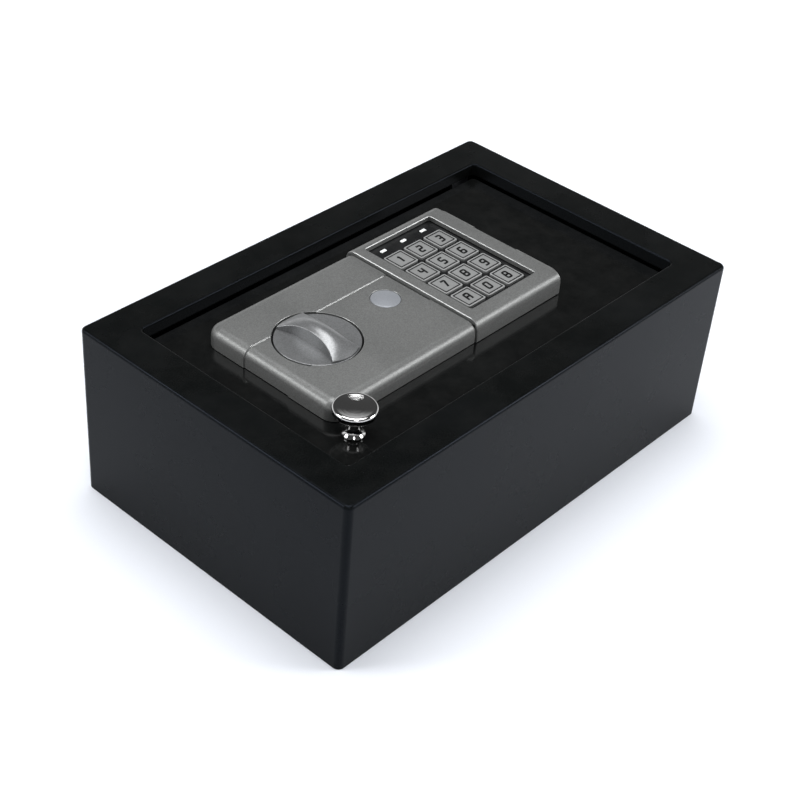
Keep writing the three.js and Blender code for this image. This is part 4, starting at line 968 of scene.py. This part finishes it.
def addBolt(node):
    b = boltShape
    low, high = boxInMm(node)
    r, c, end = b["radius"], b["chamfer"], high[0] - low[0]
    rows = [(0, 0), (r - c, 0), (r - c * 0.8, c * 0.1), (r - c * 0.12, c * 0.85), (r, c * 1.1),
            (r, b["shoulder"] - 0.2), (r - 0.2, b["shoulder"]), (b["tenon"], b["shoulder"]),
            (b["tenon"], end), (0, end)]
    start = (low[0], (low[1] + high[1]) / 2, (low[2] + high[2]) / 2)
    bolt = turnedAlong(node + "Fine", start, (1, 0, 0), rows)
    return dress(soften(bolt, 0, 30), "bolt_steel", "bolts", node)


def addCell(node, towards):
    c = cellShape
    low, high = boxInMm(node)
    r, body, length = c["radius"], c["body"], high[1] - low[1]
    rows = [(0, 0.3), (r - 1.6, 0.3), (r - c["crimp"], 0), (r - 0.2, 0.15), (r, 0.5), (r, body - 0.5),
            (r - 0.2, body - 0.2), (r - c["crimp"], body), (r - 1.3, body - 0.4),
            (c["nub"] + 0.15, body - 0.4), (c["nub"], length - 0.2), (c["nub"] - 0.35, length), (0, length)]
    start = ((low[0] + high[0]) / 2, low[1] if towards > 0 else high[1], (low[2] + high[2]) / 2)
    cell = turnedAlong(node + "Fine", start, (0, towards, 0), rows)
    dress(soften(cell, 0, 30), "cell_wrap", "lid", node)
    cell.data.materials.append(materials["zinc_steel"])
    for polygon in cell.data.polygons:
        across = polygon.center - Vector(start) * mm
        if math.hypot(across.x, across.z) < (r - c["crimp"] * 0.8) * mm:
            polygon.material_index = 1


def addCoverScrew(node):
    s = screwShape
    low, high = boxInMm(node)
    x, y = middle(low, high)
    r, end = s["radius"], high[2] - low[2]
    rows = [(0, 0), (r * 0.5, 0.05), (r * 0.8, 0.3), (r * 0.96, 0.8), (r, 1.2), (r, s["head"]),
            (s["shank"], s["head"]), (s["shank"], end), (0, end)]
    screw = turned(node + "Fine", (x, y), [(radius, low[2] + down) for radius, down in rows], 48)
    for long, wide in ((s["slotLength"], s["slotWidth"]), (s["slotWidth"], s["slotLength"])):
        slotLow = (x - long / 2, y - wide / 2, low[2] - 1)
        slotHigh = (x + long / 2, y + wide / 2, low[2] + s["slotDepth"])
        combine(screw, box("slot", slotLow, slotHigh))
    return dress(soften(screw, 0, 35), "zinc_steel", "lid", node)


for node in ("bolt_front", "bolt_back"):
    addBolt(node)
for number in range(4):
    addCell("battery_" + str(number + 1), 1 if number % 2 == 0 else -1)
    addCoverScrew("cover_screw_" + str(number + 1))
print("Bolts, cells and screws made")


# ---- felt mat on the floor

matShape = {"corner": 2, "edge": 0.6, "holeRadius": 7, "holeSpacing": 200}


def floorMat():
    m = matShape
    low, high = boxInMm("floor_mat")
    halfX, halfY = high[0], high[1]

    def row(inset, z):
        return {"halfX": halfX - inset, "halfY": halfY - inset, "radius": m["corner"], "z": z}

    rows = [row(m["edge"], low[2]), row(0, low[2] + m["edge"]), row(0, high[2] - m["edge"]),
            row(m["edge"], high[2])]
    mat = roundedBlock("floorMatFelt", (0, 0), rows, steps=5)
    for side in (-1, 1):
        rows = [(m["holeRadius"], low[2] - 2), (m["holeRadius"], high[2] + 2)]
        combine(mat, turned("hole", (side * m["holeSpacing"] / 2, 0), rows, 40))
    dress(soften(mat, 0.3), "felt", "case", "floor_mat")


floorMat()
print("Floor mat made")
